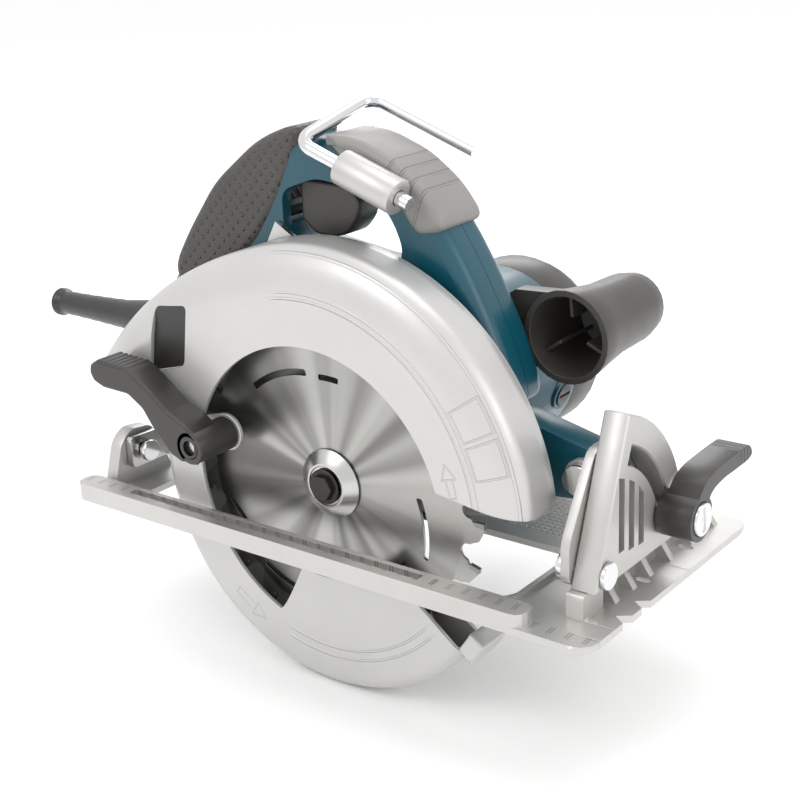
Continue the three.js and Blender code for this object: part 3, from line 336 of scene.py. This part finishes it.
blue_plastic = finish("teal_housing_plastic", (0.002, 0.068, 0.1), 0.33, coat=0.2, cloud=0.14,
                      grain=(0.5, 0.014))
dark_plastic = finish("dark_grey_plastic", (0.045, 0.041, 0.037), 0.4, coat=0.15, cloud=0.12,
                      grain=(0.45, 0.02))
black_plastic = finish("black_plastic", (0.018, 0.017, 0.016), 0.38, coat=0.2, cloud=0.2, grain=(0.5, 0.02))
lever_plastic = finish("lever_plastic", (0.028, 0.0255, 0.0235), 0.4, coat=0.15, cloud=0.15,
                       grain=(0.45, 0.02))
ribbed_plastic = finish("ribbed_lever_plastic", (0.028, 0.0255, 0.0235), 0.4, coat=0.15, cloud=0.15,
                        grain=(0.45, 0.02), relief=lever_ribs)
rubber = finish("dimpled_rubber", (0.06, 0.055, 0.05), 0.52, cloud=0.12, grain=(0.4, 0.02), relief=grip_bumps)
grey_inlay = finish("grey_inlay_plastic", (0.25, 0.24, 0.228), 0.42, coat=0.1, cloud=0.06, grain=(0.4, 0.012),
                    relief=inlay_grooves)
print("plastics ready:", len(bpy.data.materials), "finishes in all")

# %% [markdown]
# ## Shape tools
# A few tools make nearly every piece. One eases the edges of a part that the CAD already shapes well, as a
# mould or a file would. One rounds a flat outline into a plate. One turns a profile on a lathe, and one
# bends a rod along a path.
# %% Finish a piece and give it to its body
def settle(name, mesh, body, material, replaced=(), crease=32):
    """A finished piece: shading, finish, body and the CAD solids that it stands for."""
    mesh.materials.clear()
    mesh.materials.append(material)
    mesh.shade_smooth()
    mesh.set_sharp_from_angle(angle=math.radians(crease))
    for face in mesh.polygons:
        face.use_smooth = max(abs(part) for part in face.normal) < 0.99995
    piece = bpy.data.objects.new(name, mesh)
    bpy.context.scene.collection.objects.link(piece)
    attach(piece, body)
    if replaced:
        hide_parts(*replaced)
    return piece


def as_mesh(form, name):
    """A mesh with what was built in a bmesh form."""
    mesh = bpy.data.meshes.new(name)
    form.to_mesh(mesh)
    form.free()
    return mesh


def shaped(shape, *modifiers):
    """The mesh that a mesh or a curve becomes under some modifiers, each given as a type and its settings."""
    draft = bpy.data.objects.new("draft", shape)
    bpy.context.scene.collection.objects.link(draft)
    for kind, settings in modifiers:
        modifier = draft.modifiers.new(kind, kind)
        for key, value in settings.items():
            setattr(modifier, key, value)
    bpy.context.view_layer.update()
    made = bpy.data.meshes.new_from_object(draft.evaluated_get(bpy.context.evaluated_depsgraph_get()))
    bpy.data.objects.remove(draft)
    return made


def bored(mesh, *cutters):
    """The mesh with the cutters' shapes taken out of it."""
    tools = [bpy.data.objects.new("cutter", cutter) for cutter in cutters]
    for tool in tools:
        bpy.context.scene.collection.objects.link(tool)
    made = shaped(mesh, *[("BOOLEAN", {"object": tool, "operation": "DIFFERENCE", "solver": "EXACT"})
                          for tool in tools])
    for tool in tools:
        bpy.data.objects.remove(tool)
    return made


def eased_copy(node, ease=0.45, angle=24, steps=2, merge=True):
    """A CAD solid's mesh with rounded edges. Its flat faces are first made whole, unless merge is False."""
    form = bmesh.new()
    form.from_mesh(nodes[node].data)
    bmesh.ops.remove_doubles(form, verts=form.verts, dist=2e-6)
    if merge:
        bmesh.ops.dissolve_limit(form, angle_limit=math.radians(0.6), verts=form.verts, edges=form.edges)
    soft = shaped(as_mesh(form, node + "_eased"), ("BEVEL", {
        "width": ease / 1000, "segments": steps, "limit_method": "ANGLE", "angle_limit": math.radians(angle),
        "use_clamp_overlap": True, "miter_outer": "MITER_ARC"}))
    form = bmesh.new()
    form.from_mesh(soft)
    bmesh.ops.triangulate(form, faces=[face for face in form.faces if len(face.verts) > 4])
    bmesh.ops.recalc_face_normals(form, faces=form.faces)
    form.to_mesh(soft)
    form.free()
    return soft


def refine(node, name, body, material, ease=0.45, angle=24, merge=True):
    """Replace a CAD solid by its own shape with eased edges."""
    return settle(name, eased_copy(node, ease, angle, 2, merge), body, material, (node,))


print("shaping tools ready")

# %% [markdown]
# A flat outline becomes a plate by way of a filled curve: Blender rounds its rim, and holes come with it.
# A sheet that changes its section along the way is swept from rows of points instead.
# %% Plates, turned parts, rods and sheets
def rounded(points, reach, steps=6):
    """An outline with each corner cut back by reach and rounded."""
    corners = [Vector(p) for p in points]
    smooth = []
    for i, corner in enumerate(corners):
        before, after = corners[i - 1] - corner, corners[(i + 1) % len(corners)] - corner
        first = corner + before.normalized() * min(reach, before.length / 2.2)
        last = corner + after.normalized() * min(reach, after.length / 2.2)
        for k in range(steps + 1):
            t = k / steps
            smooth.append(tuple((1 - t) ** 2 * first + 2 * t * (1 - t) * corner + t * t * last))
    return smooth


def circle(x, z, radius, start=0, end=360, steps=48):
    """Points on a circle; a whole circle leaves its last point out."""
    count = steps if abs(end - start) >= 360 else steps + 1
    return [(x + radius * math.cos(math.radians(start + (end - start) * k / steps)),
             z + radius * math.sin(math.radians(start + (end - start) * k / steps))) for k in range(count)]


def signed_area(points):
    return sum(a[0] * b[1] - b[0] * a[1] for a, b in zip(points, points[1:] + points[:1])) / 2


def plate(outline, low, high, ease=0.8, axis="y", holes=(), steps=3):
    """A plate from low to high along an axis with a rounded rim; outlines are seen along that axis."""
    curve = bpy.data.curves.new("outline", "CURVE")
    curve.dimensions, curve.fill_mode = "2D", "BOTH"
    for k, loop in enumerate([outline, *holes]):
        points = list(loop) if (signed_area(list(loop)) > 0) == (k == 0) else list(loop)[::-1]
        spline = curve.splines.new("POLY")
        spline.points.add(len(points) - 1)
        for point, (u, v) in zip(spline.points, points):
            point.co = (u / 1000, v / 1000, 0, 1)
        spline.use_cyclic_u = True
    curve.extrude = (high - low) / 2000 - ease / 1000
    curve.bevel_depth, curve.bevel_resolution, curve.offset = ease / 1000, steps, -ease / 1000
    mesh = shaped(curve)
    middle = (low + high) / 2000
    form = bmesh.new()
    form.from_mesh(mesh)
    for corner in form.verts:
        u, v, w = corner.co
        corner.co = {"x": (w + middle, u, v + ARBOR), "y": (u, w + middle, v + ARBOR),
                     "z": (u, v, w + middle + ARBOR)}[axis]
    bmesh.ops.remove_doubles(form, verts=form.verts, dist=1e-6)
    bmesh.ops.recalc_face_normals(form, faces=form.faces)
    form.to_mesh(mesh)
    form.free()
    return mesh


def lathe(profile, axis="y", centre=(0, 0, 0), steps=96):
    """A closed profile of (radius, level) pairs turned round an axis through centre."""
    rings = []
    for k in range(steps):
        a = 2 * math.pi * k / steps
        for radius, along in profile:
            u, v = radius * math.cos(a), radius * math.sin(a)
            x, y, z = {"x": (along, u, v), "y": (u, along, v), "z": (u, v, along)}[axis]
            rings.append(mm(x + centre[0], y + centre[1], z + centre[2]))
    n = len(profile)
    faces = [(k * n + i, k * n + (i + 1) % n, (k + 1) % steps * n + (i + 1) % n, (k + 1) % steps * n + i)
             for k in range(steps) for i in range(n)]
    form = bmesh.new()
    corners = [form.verts.new(p) for p in rings]
    for face in faces:
        form.faces.new([corners[i] for i in face])
    bmesh.ops.remove_doubles(form, verts=form.verts, dist=1e-6)
    bmesh.ops.recalc_face_normals(form, faces=form.faces)
    return as_mesh(form, "turned")


def rod(points, radius, steps=8):
    """A round rod through points in metres, with closed ends."""
    curve = bpy.data.curves.new("rod", "CURVE")
    curve.dimensions, curve.use_fill_caps = "3D", True
    curve.bevel_depth, curve.bevel_resolution = radius / 1000, steps
    spline = curve.splines.new("POLY")
    spline.points.add(len(points) - 1)
    for point, at in zip(spline.points, points):
        point.co = (*at, 1)
    return shaped(curve)


def joined(*meshes):
    """Several meshes as one."""
    form = bmesh.new()
    for mesh in meshes:
        form.from_mesh(mesh)
    return as_mesh(form, "joined")


def swept(form, rows, name):
    """A sheet through rows of a form's points, facing the open side of the blade, which is -y."""
    for a, b in zip(rows, rows[1:]):
        for k in range(len(a) - 1):
            form.faces.new((a[k], b[k], b[k + 1], a[k + 1]))
    bmesh.ops.recalc_face_normals(form, faces=form.faces)
    form.faces.ensure_lookup_table()
    if form.faces[0].normal.y > 0:
        bmesh.ops.reverse_faces(form, faces=form.faces)
    return as_mesh(form, name)


SOFT_EDGE = ("BEVEL", {"width": 0.0004, "segments": 2, "angle_limit": math.radians(50)})


print("plates, turned parts, rods and sheets ready")

# %% [markdown]
# ## Upper guard
# The guard is one casting: a flat web round the window, a shoulder that rolls over to the rim, and a back
# plate behind the blade. It could be cut from a block, but a block's bevel looks mean. Here a grid runs
# along the rim, and at each place a profile leads from the window's edge over the shoulder to the far side.
# %% The rim line and the window line
GUARD = 123.0
WEB = -17.0
RIM_LEFT = 13.5


def rim_point(t):
    """The guard's outline from the front toe, t = 0, over the top to the tail, t = 1."""
    if t < 0.57:
        a = math.radians(5 + (104 - 5) * t / 0.57)
        return Vector((GUARD * math.cos(a), GUARD * math.sin(a)))
    s = (t - 0.57) / 0.43
    start = Vector((GUARD * math.cos(math.radians(104)), GUARD * math.sin(math.radians(104))))
    return (1 - s) ** 2 * start + 2 * s * (1 - s) * Vector((-115, 98)) + s * s * Vector((-162, 31))


def window_point(t):
    """The near web's inner edge, opposite the same place on the rim."""
    a = math.radians(15.3 + (104 - 15.3) * t / 0.57 if t < 0.57 else 104 + (156 - 104) * (t - 0.57) / 0.43)
    return Vector((1 + 78 * math.cos(a), -3 + 78 * math.sin(a)))


shoulder = []
for k in range(15):
    s = k / 14
    shoulder.append((24 * (1 - math.sin(s * math.pi / 2)), WEB + 13 * (1 - math.cos(s * math.pi / 2))))
rim_wall = [(0, -1.5), (0, 3), (0, 8), (0, 12.5), (0.5, 13.2), (1.4, RIM_LEFT)]
print("shoulder profile of", len(shoulder), "points, from", shoulder[0], "to", shoulder[-1])

# %% [markdown]
# At the tail a four-cornered pocket opens towards the dark inside. It is cut through the finished shell, and
# a thin black plate closes it from behind as painted shade for the dark inside.
# %% Build the guard's shell and back plate
POCKET = [(-101, 81), (-76, 85), (-81, 52), (-107, 45)]


def guard_shell():
    along, web = 180, 8
    form = bmesh.new()
    rows = []
    for i in range(along + 1):
        t = i / along
        rim, edge = rim_point(t), window_point(t)
        inward = (edge - rim).normalized()
        reach = (edge - rim).length
        row = [(reach + (24.5 - reach) * k / web, WEB) for k in range(web)] + shoulder + rim_wall
        line = []
        for distance, y in row:
            x, z = rim + inward * distance
            line.append(form.verts.new(mm(x, y, z)))
        rows.append(line)
    whole = shaped(swept(form, rows, "guard_shell"),
                   ("SOLIDIFY", {"thickness": 0.0024, "offset": -1.0, "use_even_offset": True}))
    pocket = plate(rounded(POCKET, 4), -20, -10, 0.1)
    return shaped(bored(whole, pocket), SOFT_EDGE)


shell = settle("upper_guard_shell", guard_shell(), "saw_body", guard_paint,
               ("upper_guard",), 40)
# A black plate behind the pocket: painted shade where the guard's inside lies in shadow.
settle("guard_pocket_shade_plate", plate(rounded([(x - 0.5, z) for x, z in POCKET], 4), -14.3, -13.2, 0.3),
       "saw_body", black_plastic)
back_outline = [tuple(rim_point(k / 90)) for k in range(91)] + [
    (-156, 22), (-60, 10), (-36, -12), *circle(0, 0, 33, 230, 310, 12), (40, -10), (112, 3)]
settle("upper_guard_back", plate(back_outline, 10.5, RIM_LEFT, 0.5, holes=[circle(0, 0, 24.4)]),
       "saw_body", guard_paint)
print("upper guard shell:", len(shell.data.polygons), "faces")

# %% [markdown]
# ## Lower guard
# The swinging guard is a shallow drum in two faces with a wall between. It is swept round the arbor like a
# lathe part, but only through part of a turn, and its near face is cut back where the blade shows.
# %% Sweep the lower guard
def swing_shell():
    start, end, turns = -38, -200, 220
    form, rows = bmesh.new(), []
    for i in range(turns + 1):
        a = start + (end - start) * i / turns
        mix = max(0.0, min(1.0, (-106 - a) / 7))
        inner = 47 + 33 * mix * mix * (3 - 2 * mix)
        profile = [(inner + (102 - inner) * k / 12, -12) for k in range(12)]
        profile += [(102 + 5.9 * math.sin(math.radians(b)), -6 - 6 * math.cos(math.radians(b)))
                    for b in range(0, 91, 10)]
        profile += [(107.9, 2), (107.9, 6.6), (107.3, 8), (106, 8.6), (80, 8.6), (50, 8.6), (24.6, 8.6)]
        u, v = math.cos(math.radians(a)), math.sin(math.radians(a))
        rows.append([form.verts.new(mm(r * u, y, r * v)) for r, y in profile])
    return shaped(swept(form, rows, "swing_shell"),
                  ("SOLIDIFY", {"thickness": 0.0022, "offset": -1.0, "use_even_offset": True}), SOFT_EDGE)


LEVER = (-60.0, 18.8)
lip = plate(rounded([*circle(0, 0, 104, -38, -31, 4), *circle(0, 0, 114, -31, -38, 4)], 3), -12, 8.6, 1.8)
ear = plate(rounded([*circle(*LEVER, 10, 100, -130, 16), (-84, -6), (-99, 20)], 2, 3), -12, -9.6, 0.6)
hub = lathe([(24.5, 6.4), (34, 6.4), (34, 8.2), (33.4, 8.6), (24.5, 8.6)])
settle("lower_guard_shell", joined(swing_shell(), lip, ear, hub), "lower_guard", swing_paint,
       ("lower_guard",), 40)
print("lower guard swept")

# %% [markdown]
# ## Blade
# A saw blade's gullets are ground round, and each tooth carries a brazed carbide tip. The outline is drawn
# tooth by tooth: down the cutting face, round the gullet and up the long back of the next tooth.
# %% Cut the blade and braze its tips
BLADE, TEETH = 92.0, 24


def polar(radius, degrees):
    return (radius * math.cos(math.radians(degrees)), radius * math.sin(math.radians(degrees)))


blade_outline = []
for k in range(TEETH):
    at = 360 / TEETH * k
    face = at + 14.4
    gullet = [polar(84.2 - 4.6 * math.sin(math.radians(b)), at + 3.2 - 3.0 * math.cos(math.radians(b)))
              for b in range(0, 181, 20)]
    blade_outline += gullet + [
        polar(86.2, at + 7.2), polar(88.6, at + 8.0), polar(89.6, at + 9.6), polar(BLADE - 0.2, at + 12.6),
        polar(BLADE - 0.2, face - 0.5), polar(85.6, face - 0.4)]


def expansion_slot(start, end, first, last, width):
    """A curved slot from one angle to another, while its radius changes from first to last."""
    inner = [polar(first + (last - first) * k / 8, start + (end - start) * k / 8) for k in range(9)]
    outer = [polar(first + width + (last - first) * k / 8, start + (end - start) * k / 8)
             for k in range(8, -1, -1)]
    return rounded(inner + outer, 1.2, 2)


slots = [expansion_slot(139, 103, 62.5, 55.5, 3.4), expansion_slot(95, 82, 53.6, 53.6, 3.0),
         expansion_slot(4, -26, 52.5, 61.5, 3.4), expansion_slot(-36, -49, 53.6, 53.6, 3.0),
         expansion_slot(199, 209, 73.5, 69.5, 3.0), expansion_slot(229, 249, 73.5, 69.5, 3.2)]
settle("toothed_blade", plate(blade_outline, -0.85, 0.85, 0.12, holes=[circle(0, 0, 7.94), *slots], steps=1),
       "spindle", blade_steel, ("saw_blade",))
tips = []
for k in range(TEETH):
    face = 360 / TEETH * k + 14.4
    corners = [polar(BLADE, face + 0.1), polar(BLADE, face - 1.7),
               polar(86.4, face - 1.3), polar(86.4, face + 0.1)]
    tips.append(plate(corners, -1.15, 1.15, 0.15, steps=1))
settle("carbide_tips", joined(*tips), "spindle", carbide)
print("blade with", TEETH, "teeth and", len(slots), "slots")

# %% [markdown]
# The blade is held by a dished flange and one bolt. The bolt's head is a black hexagon with a washer face.
# %% Flange and bolt
flange = lathe([(4.4, -1.15), (17.6, -1.15), (18, -1.5), (18, -2.1), (17.2, -2.7), (12.4, -5.6),
                (11.6, -6), (10.6, -6), (10.2, -5.4), (4.4, -5.4)])
settle("dished_flange", flange, "spindle", bright_steel, ("outer_flange",), 50)
bolt_head = plate(rounded(circle(0, 0, 7, 0, 360, 6), 0.5, 2), -10.4, -6.6, 0.5)
washer = lathe([(0, -6.3), (8.6, -6.3), (9.1, -6.7), (9.1, -7.2), (8.7, -7.6), (0, -7.6)])
shank = lathe([(0, 15), (4, 15), (4, -7), (0, -7)], steps=40)
settle("blade_hex_bolt", joined(bolt_head, washer, shank), "spindle", black_steel,
       ("blade_bolt",))
print("blade fastened")

# %% [markdown]
# ## Guard lever
# A black moulded arm lifts the lower guard. Its thumb end carries ribs, cut here as waves in the outline,
# and its hub is a deep round boss with a counterbore for the screw.
# %% The lift lever
def waves(start, end, count, height):
    """Points along a line from start to end with rounded ribs standing off it."""
    first, last = Vector(start), Vector(end)
    across = Vector((first.y - last.y, last.x - first.x)).normalized()
    made = []
    for k in range(count * 6 + 1):
        t = k / (count * 6)
        made.append(tuple(first.lerp(last, t) + across * height * abs(math.sin(math.pi * count * t))))
    return made


arm = [(5, -4), (6, 6), (-2, 12), (-14, 17), (-26, 26), (-38, 33.5)]
arm += waves((-41, 34.6), (-64, 35.6), 6, -0.9)
arm += [(-68.5, 33), (-69.5, 28.5), (-67, 24), (-60, 21.5), (-42, 21), (-32, 15), (-24, 4), (-14, -6),
        (-6, -9)]
arm = rounded([(LEVER[0] + x, LEVER[1] + z) for x, z in arm], 1.6, 3)
boss = lathe([(3.2, -12.4), (8.2, -12.4), (8.8, -13), (8.8, -38.2), (8.2, -39), (6.2, -39), (5.6, -38.4),
              (5.6, -33.2), (3.2, -33.2)], centre=(LEVER[0], 0, LEVER[1]), steps=48)
lever_arm = plate(arm, -39, -21.2, 1.6, holes=[circle(*LEVER, 5.6, steps=32)], steps=4)
settle("guard_lift_lever", joined(lever_arm, boss), "lower_guard", lever_plastic,
       ("guard_lever",), 40)
print("lever placed at", LEVER)

# %% [markdown]
# ## Shoe and quadrant
# The shoe, its wall and the bevel quadrant are die castings. The CAD already has their gussets, slots and
# lugs, so each keeps its own shape and gains eased edges.
# %% Castings from the CAD shapes
refine("shoe", "cast_shoe", "shoe", cast_shoe, 0.6, merge=False)
refine("bevel_quadrant", "cast_quadrant", "shoe", cast_metal, 0.7, merge=False)
refine("front_tilt_bracket", "cast_tilt_bracket", "tilt_frame", cast_metal, 0.6)
refine("depth_guide", "slotted_depth_guide", "tilt_frame", bright_steel, 0.3)
refine("hook_barrel", "hook_pivot_barrel", "saw_body", cast_metal, 0.7)
refine("front_bevel_pin", "front_pivot_pin", "shoe", chrome, 0.4)
refine("rear_bevel_pin", "rear_pivot_pin", "shoe", chrome, 0.4)
refine("depth_pivot_pin", "chromed_depth_pin", "tilt_frame", chrome, 0.4)
print("castings eased")

# %% [markdown]
# ## Housings
# The gear case and motor shell are blue mouldings, and the end cap is dark grey. Their vents and bosses
# come with the CAD shapes too.
# %% Housings from the CAD shapes
refine("gear_housing", "moulded_gear_case", "saw_body", blue_plastic, 0.7, merge=False)
refine("motor_housing", "moulded_motor_shell", "saw_body", blue_plastic, 0.6)
refine("motor_end_cap", "moulded_end_cap", "saw_body", dark_plastic, 0.8)
refine("auxiliary_handle", "trumpet_side_handle", "saw_body", dark_plastic, 1.0)
trumpet_centre = Vector((103, 77))
inner_ribs = []
for at in (95, 215, 335):
    along, across = Vector(polar(1, at)), Vector(polar(0.9, at + 90))
    corners = [trumpet_centre + along * r + across * s for r, s in ((8, -1), (18.4, -1), (18.4, 1), (8, 1))]
    inner_ribs.append(plate([tuple(c) for c in corners], 60, 90, 0.6))
settle("side_handle_ribs", joined(*inner_ribs), "saw_body", dark_plastic)
for side_name in ("front", "rear"):
    refine(f"brush_cap_{side_name}", f"slotted_brush_cap_{side_name}", "saw_body",
           black_plastic, 0.3)
print("housings eased")

# %% [markdown]
# ## Handle
# The handle is two shells that meet on a centre seam. One thick plate with a well-rounded rim is made from
# the outline and its two finger holes, then sliced down the middle with a narrow gap.
# %% The two handle shells
motor_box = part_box("motor_end_cap")
MOTOR = ((motor_box[0].x + motor_box[1].x) * 500, (motor_box[0].z + motor_box[1].z) * 500 - ARBOR * 1000)
shell_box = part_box("handle_right_shell")[0].y * 1000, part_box("handle_left_shell")[1].y * 1000
SEAM = sum(shell_box) / 2
handle_outline = rounded([
    (95, 47.5), (90, 68), (81, 89), (70, 110), (59, 128), (46, 144), (29, 156.5), (8, 164.5), (-30, 168),
    (-54, 160), (-84, 138), (-107, 112), (-121, 90), (-132, 74), (-150, 64), (-150, 40), (-128, 28),
    (-86, 19),
    *circle(*MOTOR, 50.2, 199, 18, 30)], 9, 5)
finger_hole = rounded([(-45, 111), (-96, 77), (-107, 64), (-97, 50), (-54, 49), (-47, 65), (-26, 88), (0, 94),
                       (12, 95), (6, 99)], 5, 5)
trigger_hole = rounded([(-40, 120), (-35, 114), (10, 107), (30, 108), (35, 118), (29, 132), (18, 144),
                        (-18, 148), (-40, 140)], 6, 5)
trigger_room = [(-43, 122), (-43, 152), (-8, 150), (0, 140), (0, 122)]
HANDLE_SCREWS = ((-122, 44), (80, 70), (-8, 156))
cutters = [plate(hole, shell_box[0] - 5, shell_box[1] + 5, 0.2, steps=1)
           for hole in (finger_hole, trigger_hole)]
cutters.append(plate(trigger_room, SEAM - 9.3, SEAM + 9.3, 0.2, steps=1))
cutters += [plate(circle(x, z, 4.4, steps=24), shell_box[1] - 7, shell_box[1] + 5, 0.2, steps=1)
            for x, z in HANDLE_SCREWS]
handle = shaped(bored(plate(handle_outline, *shell_box, 7.5, steps=6), *cutters), ("BEVEL", {
    "width": 0.0018, "segments": 3, "angle_limit": math.radians(50)}))


def sliced(mesh, level, keep_above):
    """The part of a mesh on one side of a level along y, closed there."""
    form = bmesh.new()
    form.from_mesh(mesh)
    geometry = form.verts[:] + form.edges[:] + form.faces[:]
    bmesh.ops.bisect_plane(form, geom=geometry, plane_co=(0, level / 1000, 0), plane_no=(0, 1, 0),
                           clear_outer=not keep_above, clear_inner=keep_above)
    bmesh.ops.triangle_fill(form, edges=[edge for edge in form.edges if edge.is_boundary], use_beauty=True)
    bmesh.ops.recalc_face_normals(form, faces=form.faces)
    return as_mesh(form, "half")


settle("handle_shell_right", sliced(handle, SEAM - 0.15, False), "saw_body", blue_plastic,
       ("handle_right_shell",), 40)
settle("handle_shell_left", sliced(handle, SEAM + 0.15, True), "saw_body", blue_plastic,
       ("handle_left_shell",), 40)
print("handle from", [round(v, 1) for v in shell_box], "seam at", round(SEAM, 2))

# %% [markdown]
# The rubber pad and the grey inlay are skins moulded over the handle. Each is a slightly wider plate with the
# same rounded rim, so it wraps round the handle and tucks into it along its border.
# %% Grip pad, inlay, trigger
grip_outline = rounded([(-23, 171), (-34, 172.5), (-57, 163.5), (-88, 140), (-110, 112), (-123, 92),
                        (-117, 80), (-106, 84), (-84, 93), (-59, 109), (-42, 134)], 11, 6)
inlay_outline = rounded([(-14, 170), (8, 169), (31, 160.5), (49, 147.5), (61, 132), (52, 127), (42, 125.5),
                         (33, 138), (20, 151), (2, 156)], 8, 6)
SKIN = 1.2
grip = plate(grip_outline, shell_box[0] - SKIN, shell_box[1] + SKIN, 6, steps=6)
inlay = plate(inlay_outline, shell_box[0] - SKIN, shell_box[1] + SKIN, 4.5, steps=5)
settle("dimpled_grip_pad", grip, "saw_body", rubber, ("rubber_grip",), 40)
settle("grooved_grip_inlay", inlay, "saw_body", grey_inlay, ("front_grip_insert",), 40)
refine("trigger", "finger_trigger", "trigger", dark_plastic, 0.9)
refine("depth_lever", "depth_clamp_lever", "depth_lever", lever_plastic, 1.2)
refine("bevel_lever", "bevel_clamp_lever", "bevel_lever", ribbed_plastic, 1.2)
refine("bevel_lever_cap_screw", "slotted_cap_screw", "bevel_lever", chrome, 0.4)
refine("spindle_lock_button", "lock_button", "spindle_lock", black_plastic, 0.5)
print("grips and levers eased")

# %% [markdown]
# ## Hook and cord guard
# The rafter hook is bent from chromed rod, so a curve with a round section is its natural form. The cord
# guard is a soft tapered sleeve with a bead at its mouth.
# %% Bend the hook and turn the sleeve
half_handle, pad_skin, clearance, half_barrel = 15.5, 1.3, 0.3, 8.6
HOOK = Vector((25, SEAM - half_handle - pad_skin - clearance - half_barrel, 151.5))
tilt, rise = math.radians(20), math.radians(17)


def hook_point(along, out):
    """A point of the hook: along its pivot, and out across the saw."""
    y, z = out * math.cos(rise), out * math.sin(rise)
    return mm(HOOK.x + along * math.cos(tilt) + z * math.sin(tilt), HOOK.y + y,
              HOOK.z - along * math.sin(tilt) + z * math.cos(tilt))


path = [hook_point(24, 0), hook_point(0, 0)]
quarter = [math.pi / 2 * k / 10 for k in range(11)]
path += [hook_point(-37 - 9 * math.sin(b), 9 - 9 * math.cos(b)) for b in quarter]
path += [hook_point(-37 - 9 * math.cos(b), 44 + 9 * math.sin(b)) for b in quarter]
path += [hook_point(0, 53), hook_point(14, 53), hook_point(16, 53), hook_point(20, 53)]
settle("chromed_rafter_hook", rod(path, 3.5), "rafter_hook", chrome, ("rafter_hook",), 50)
cord_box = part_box("cord_guard")
cord_z = (cord_box[0].z + cord_box[1].z) * 500 - ARBOR * 1000
sleeve = [(4.2, -238), (7.4, -238), (8.2, -237.4), (8.2, -235), (7.4, -234), (6.7, -232)]
sleeve += [(6.7 + 1.5 * (k / 10) ** 1.5 + 0.25 * (k % 2), -230 + 48 * k / 10) for k in range(11)]
sleeve += [(11, -162), (11.5, -154.4), (8.8, -154.2), (8.8, -136), (4.2, -136)]
settle("cord_sleeve", lathe(sleeve, "x", (0, SEAM, cord_z), 64), "saw_body", black_plastic,
       ("cord_guard",), 40)
print("hook and sleeve made")

# %% [markdown]
# ## What stays from the CAD
# The screws, bearings, shaft, gear and motor parts are simple turned shapes, mostly out of sight. They keep
# their CAD meshes, each with the finish of its own metal or plastic.
# %% Finish the remaining CAD parts
finishes = {
    bright_steel: [
        "guard_screw_1", "guard_screw_2", "guard_screw_3", "guard_return_spring", "arbor_ball_bearing",
        "armature_front_bearing", "armature_rear_bearing", "arbor_shaft", "output_gear", "armature_shaft",
        "inner_flange", "bevel_clamp_bolt", "guard_lever_screw", "depth_clamp_bolt", "handle_screw_1",
        "handle_screw_2", "handle_screw_3", "auxiliary_handle_screw"],
    black_steel: ["carbon_brush_front", "carbon_brush_rear"],
    black_plastic: ["cooling_fan", "trigger_switch"],
    copper: ["commutator", "brush_holder_front", "brush_holder_rear"],
    laminations: ["armature_core", "stator"],
    cast_metal: ["bearing_plate"],
}
for material, names in finishes.items():
    for name in names:
        nodes[name].data.materials.clear()
        nodes[name].data.materials.append(material)
print("carried over:", sum(len(names) for names in finishes.values()), "CAD parts")

# %% [markdown]
# ## Stage and light
# A pale floor lies just under the lower guard. Large soft lights stand in front, to the right, above and
# behind, in a white world, so that satin metal shows one side brighter than the other without hard shadows.
# %% Floor, lights and world
half_floor = 30.0
floor_mesh = bpy.data.meshes.new("floor")
floor_level = cad_box[0].z - 0.0006
around = ((-1, -1), (1, -1), (1, 1), (-1, 1))
floor_mesh.from_pydata([(x * half_floor, y * half_floor, floor_level) for x, y in around], [], [(0, 1, 2, 3)])
floor = bpy.data.objects.new("floor", floor_mesh)
bpy.context.scene.collection.objects.link(floor)
floor_mesh.materials.append(finish("pale_floor", (0.96, 0.96, 0.96), 0.8, cloud=0.01, grain=(30, 0.0)))


def soft_light(name, place, size, power):
    """A square soft light that faces the saw."""
    light = bpy.data.lights.new(name, "AREA")
    light.shape, light.size, light.energy = "SQUARE", size, power
    lamp = bpy.data.objects.new(name, light)
    lamp.location = place
    lamp.rotation_euler = (Vector(place) - Vector((0, 0.04, 0.06))).to_track_quat("Z", "Y").to_euler()
    bpy.context.scene.collection.objects.link(lamp)


soft_light("key", (-0.5, -1.3, 1.3), 0.9, 7)
soft_light("right", (1.5, -0.3, 0.8), 0.8, 4)
soft_light("overhead", (0.1, 0.3, 1.8), 1.2, 8)
soft_light("behind", (-0.9, 1.4, 0.9), 0.9, 6)
world = bpy.data.worlds.new("studio")
world.use_nodes = True
world.node_tree.nodes["Background"].inputs[0].default_value = (1, 1, 1, 1)
world.node_tree.nodes["Background"].inputs[1].default_value = 1.02
bpy.context.scene.world = world
print("stage set, floor at", round(floor_level, 4))
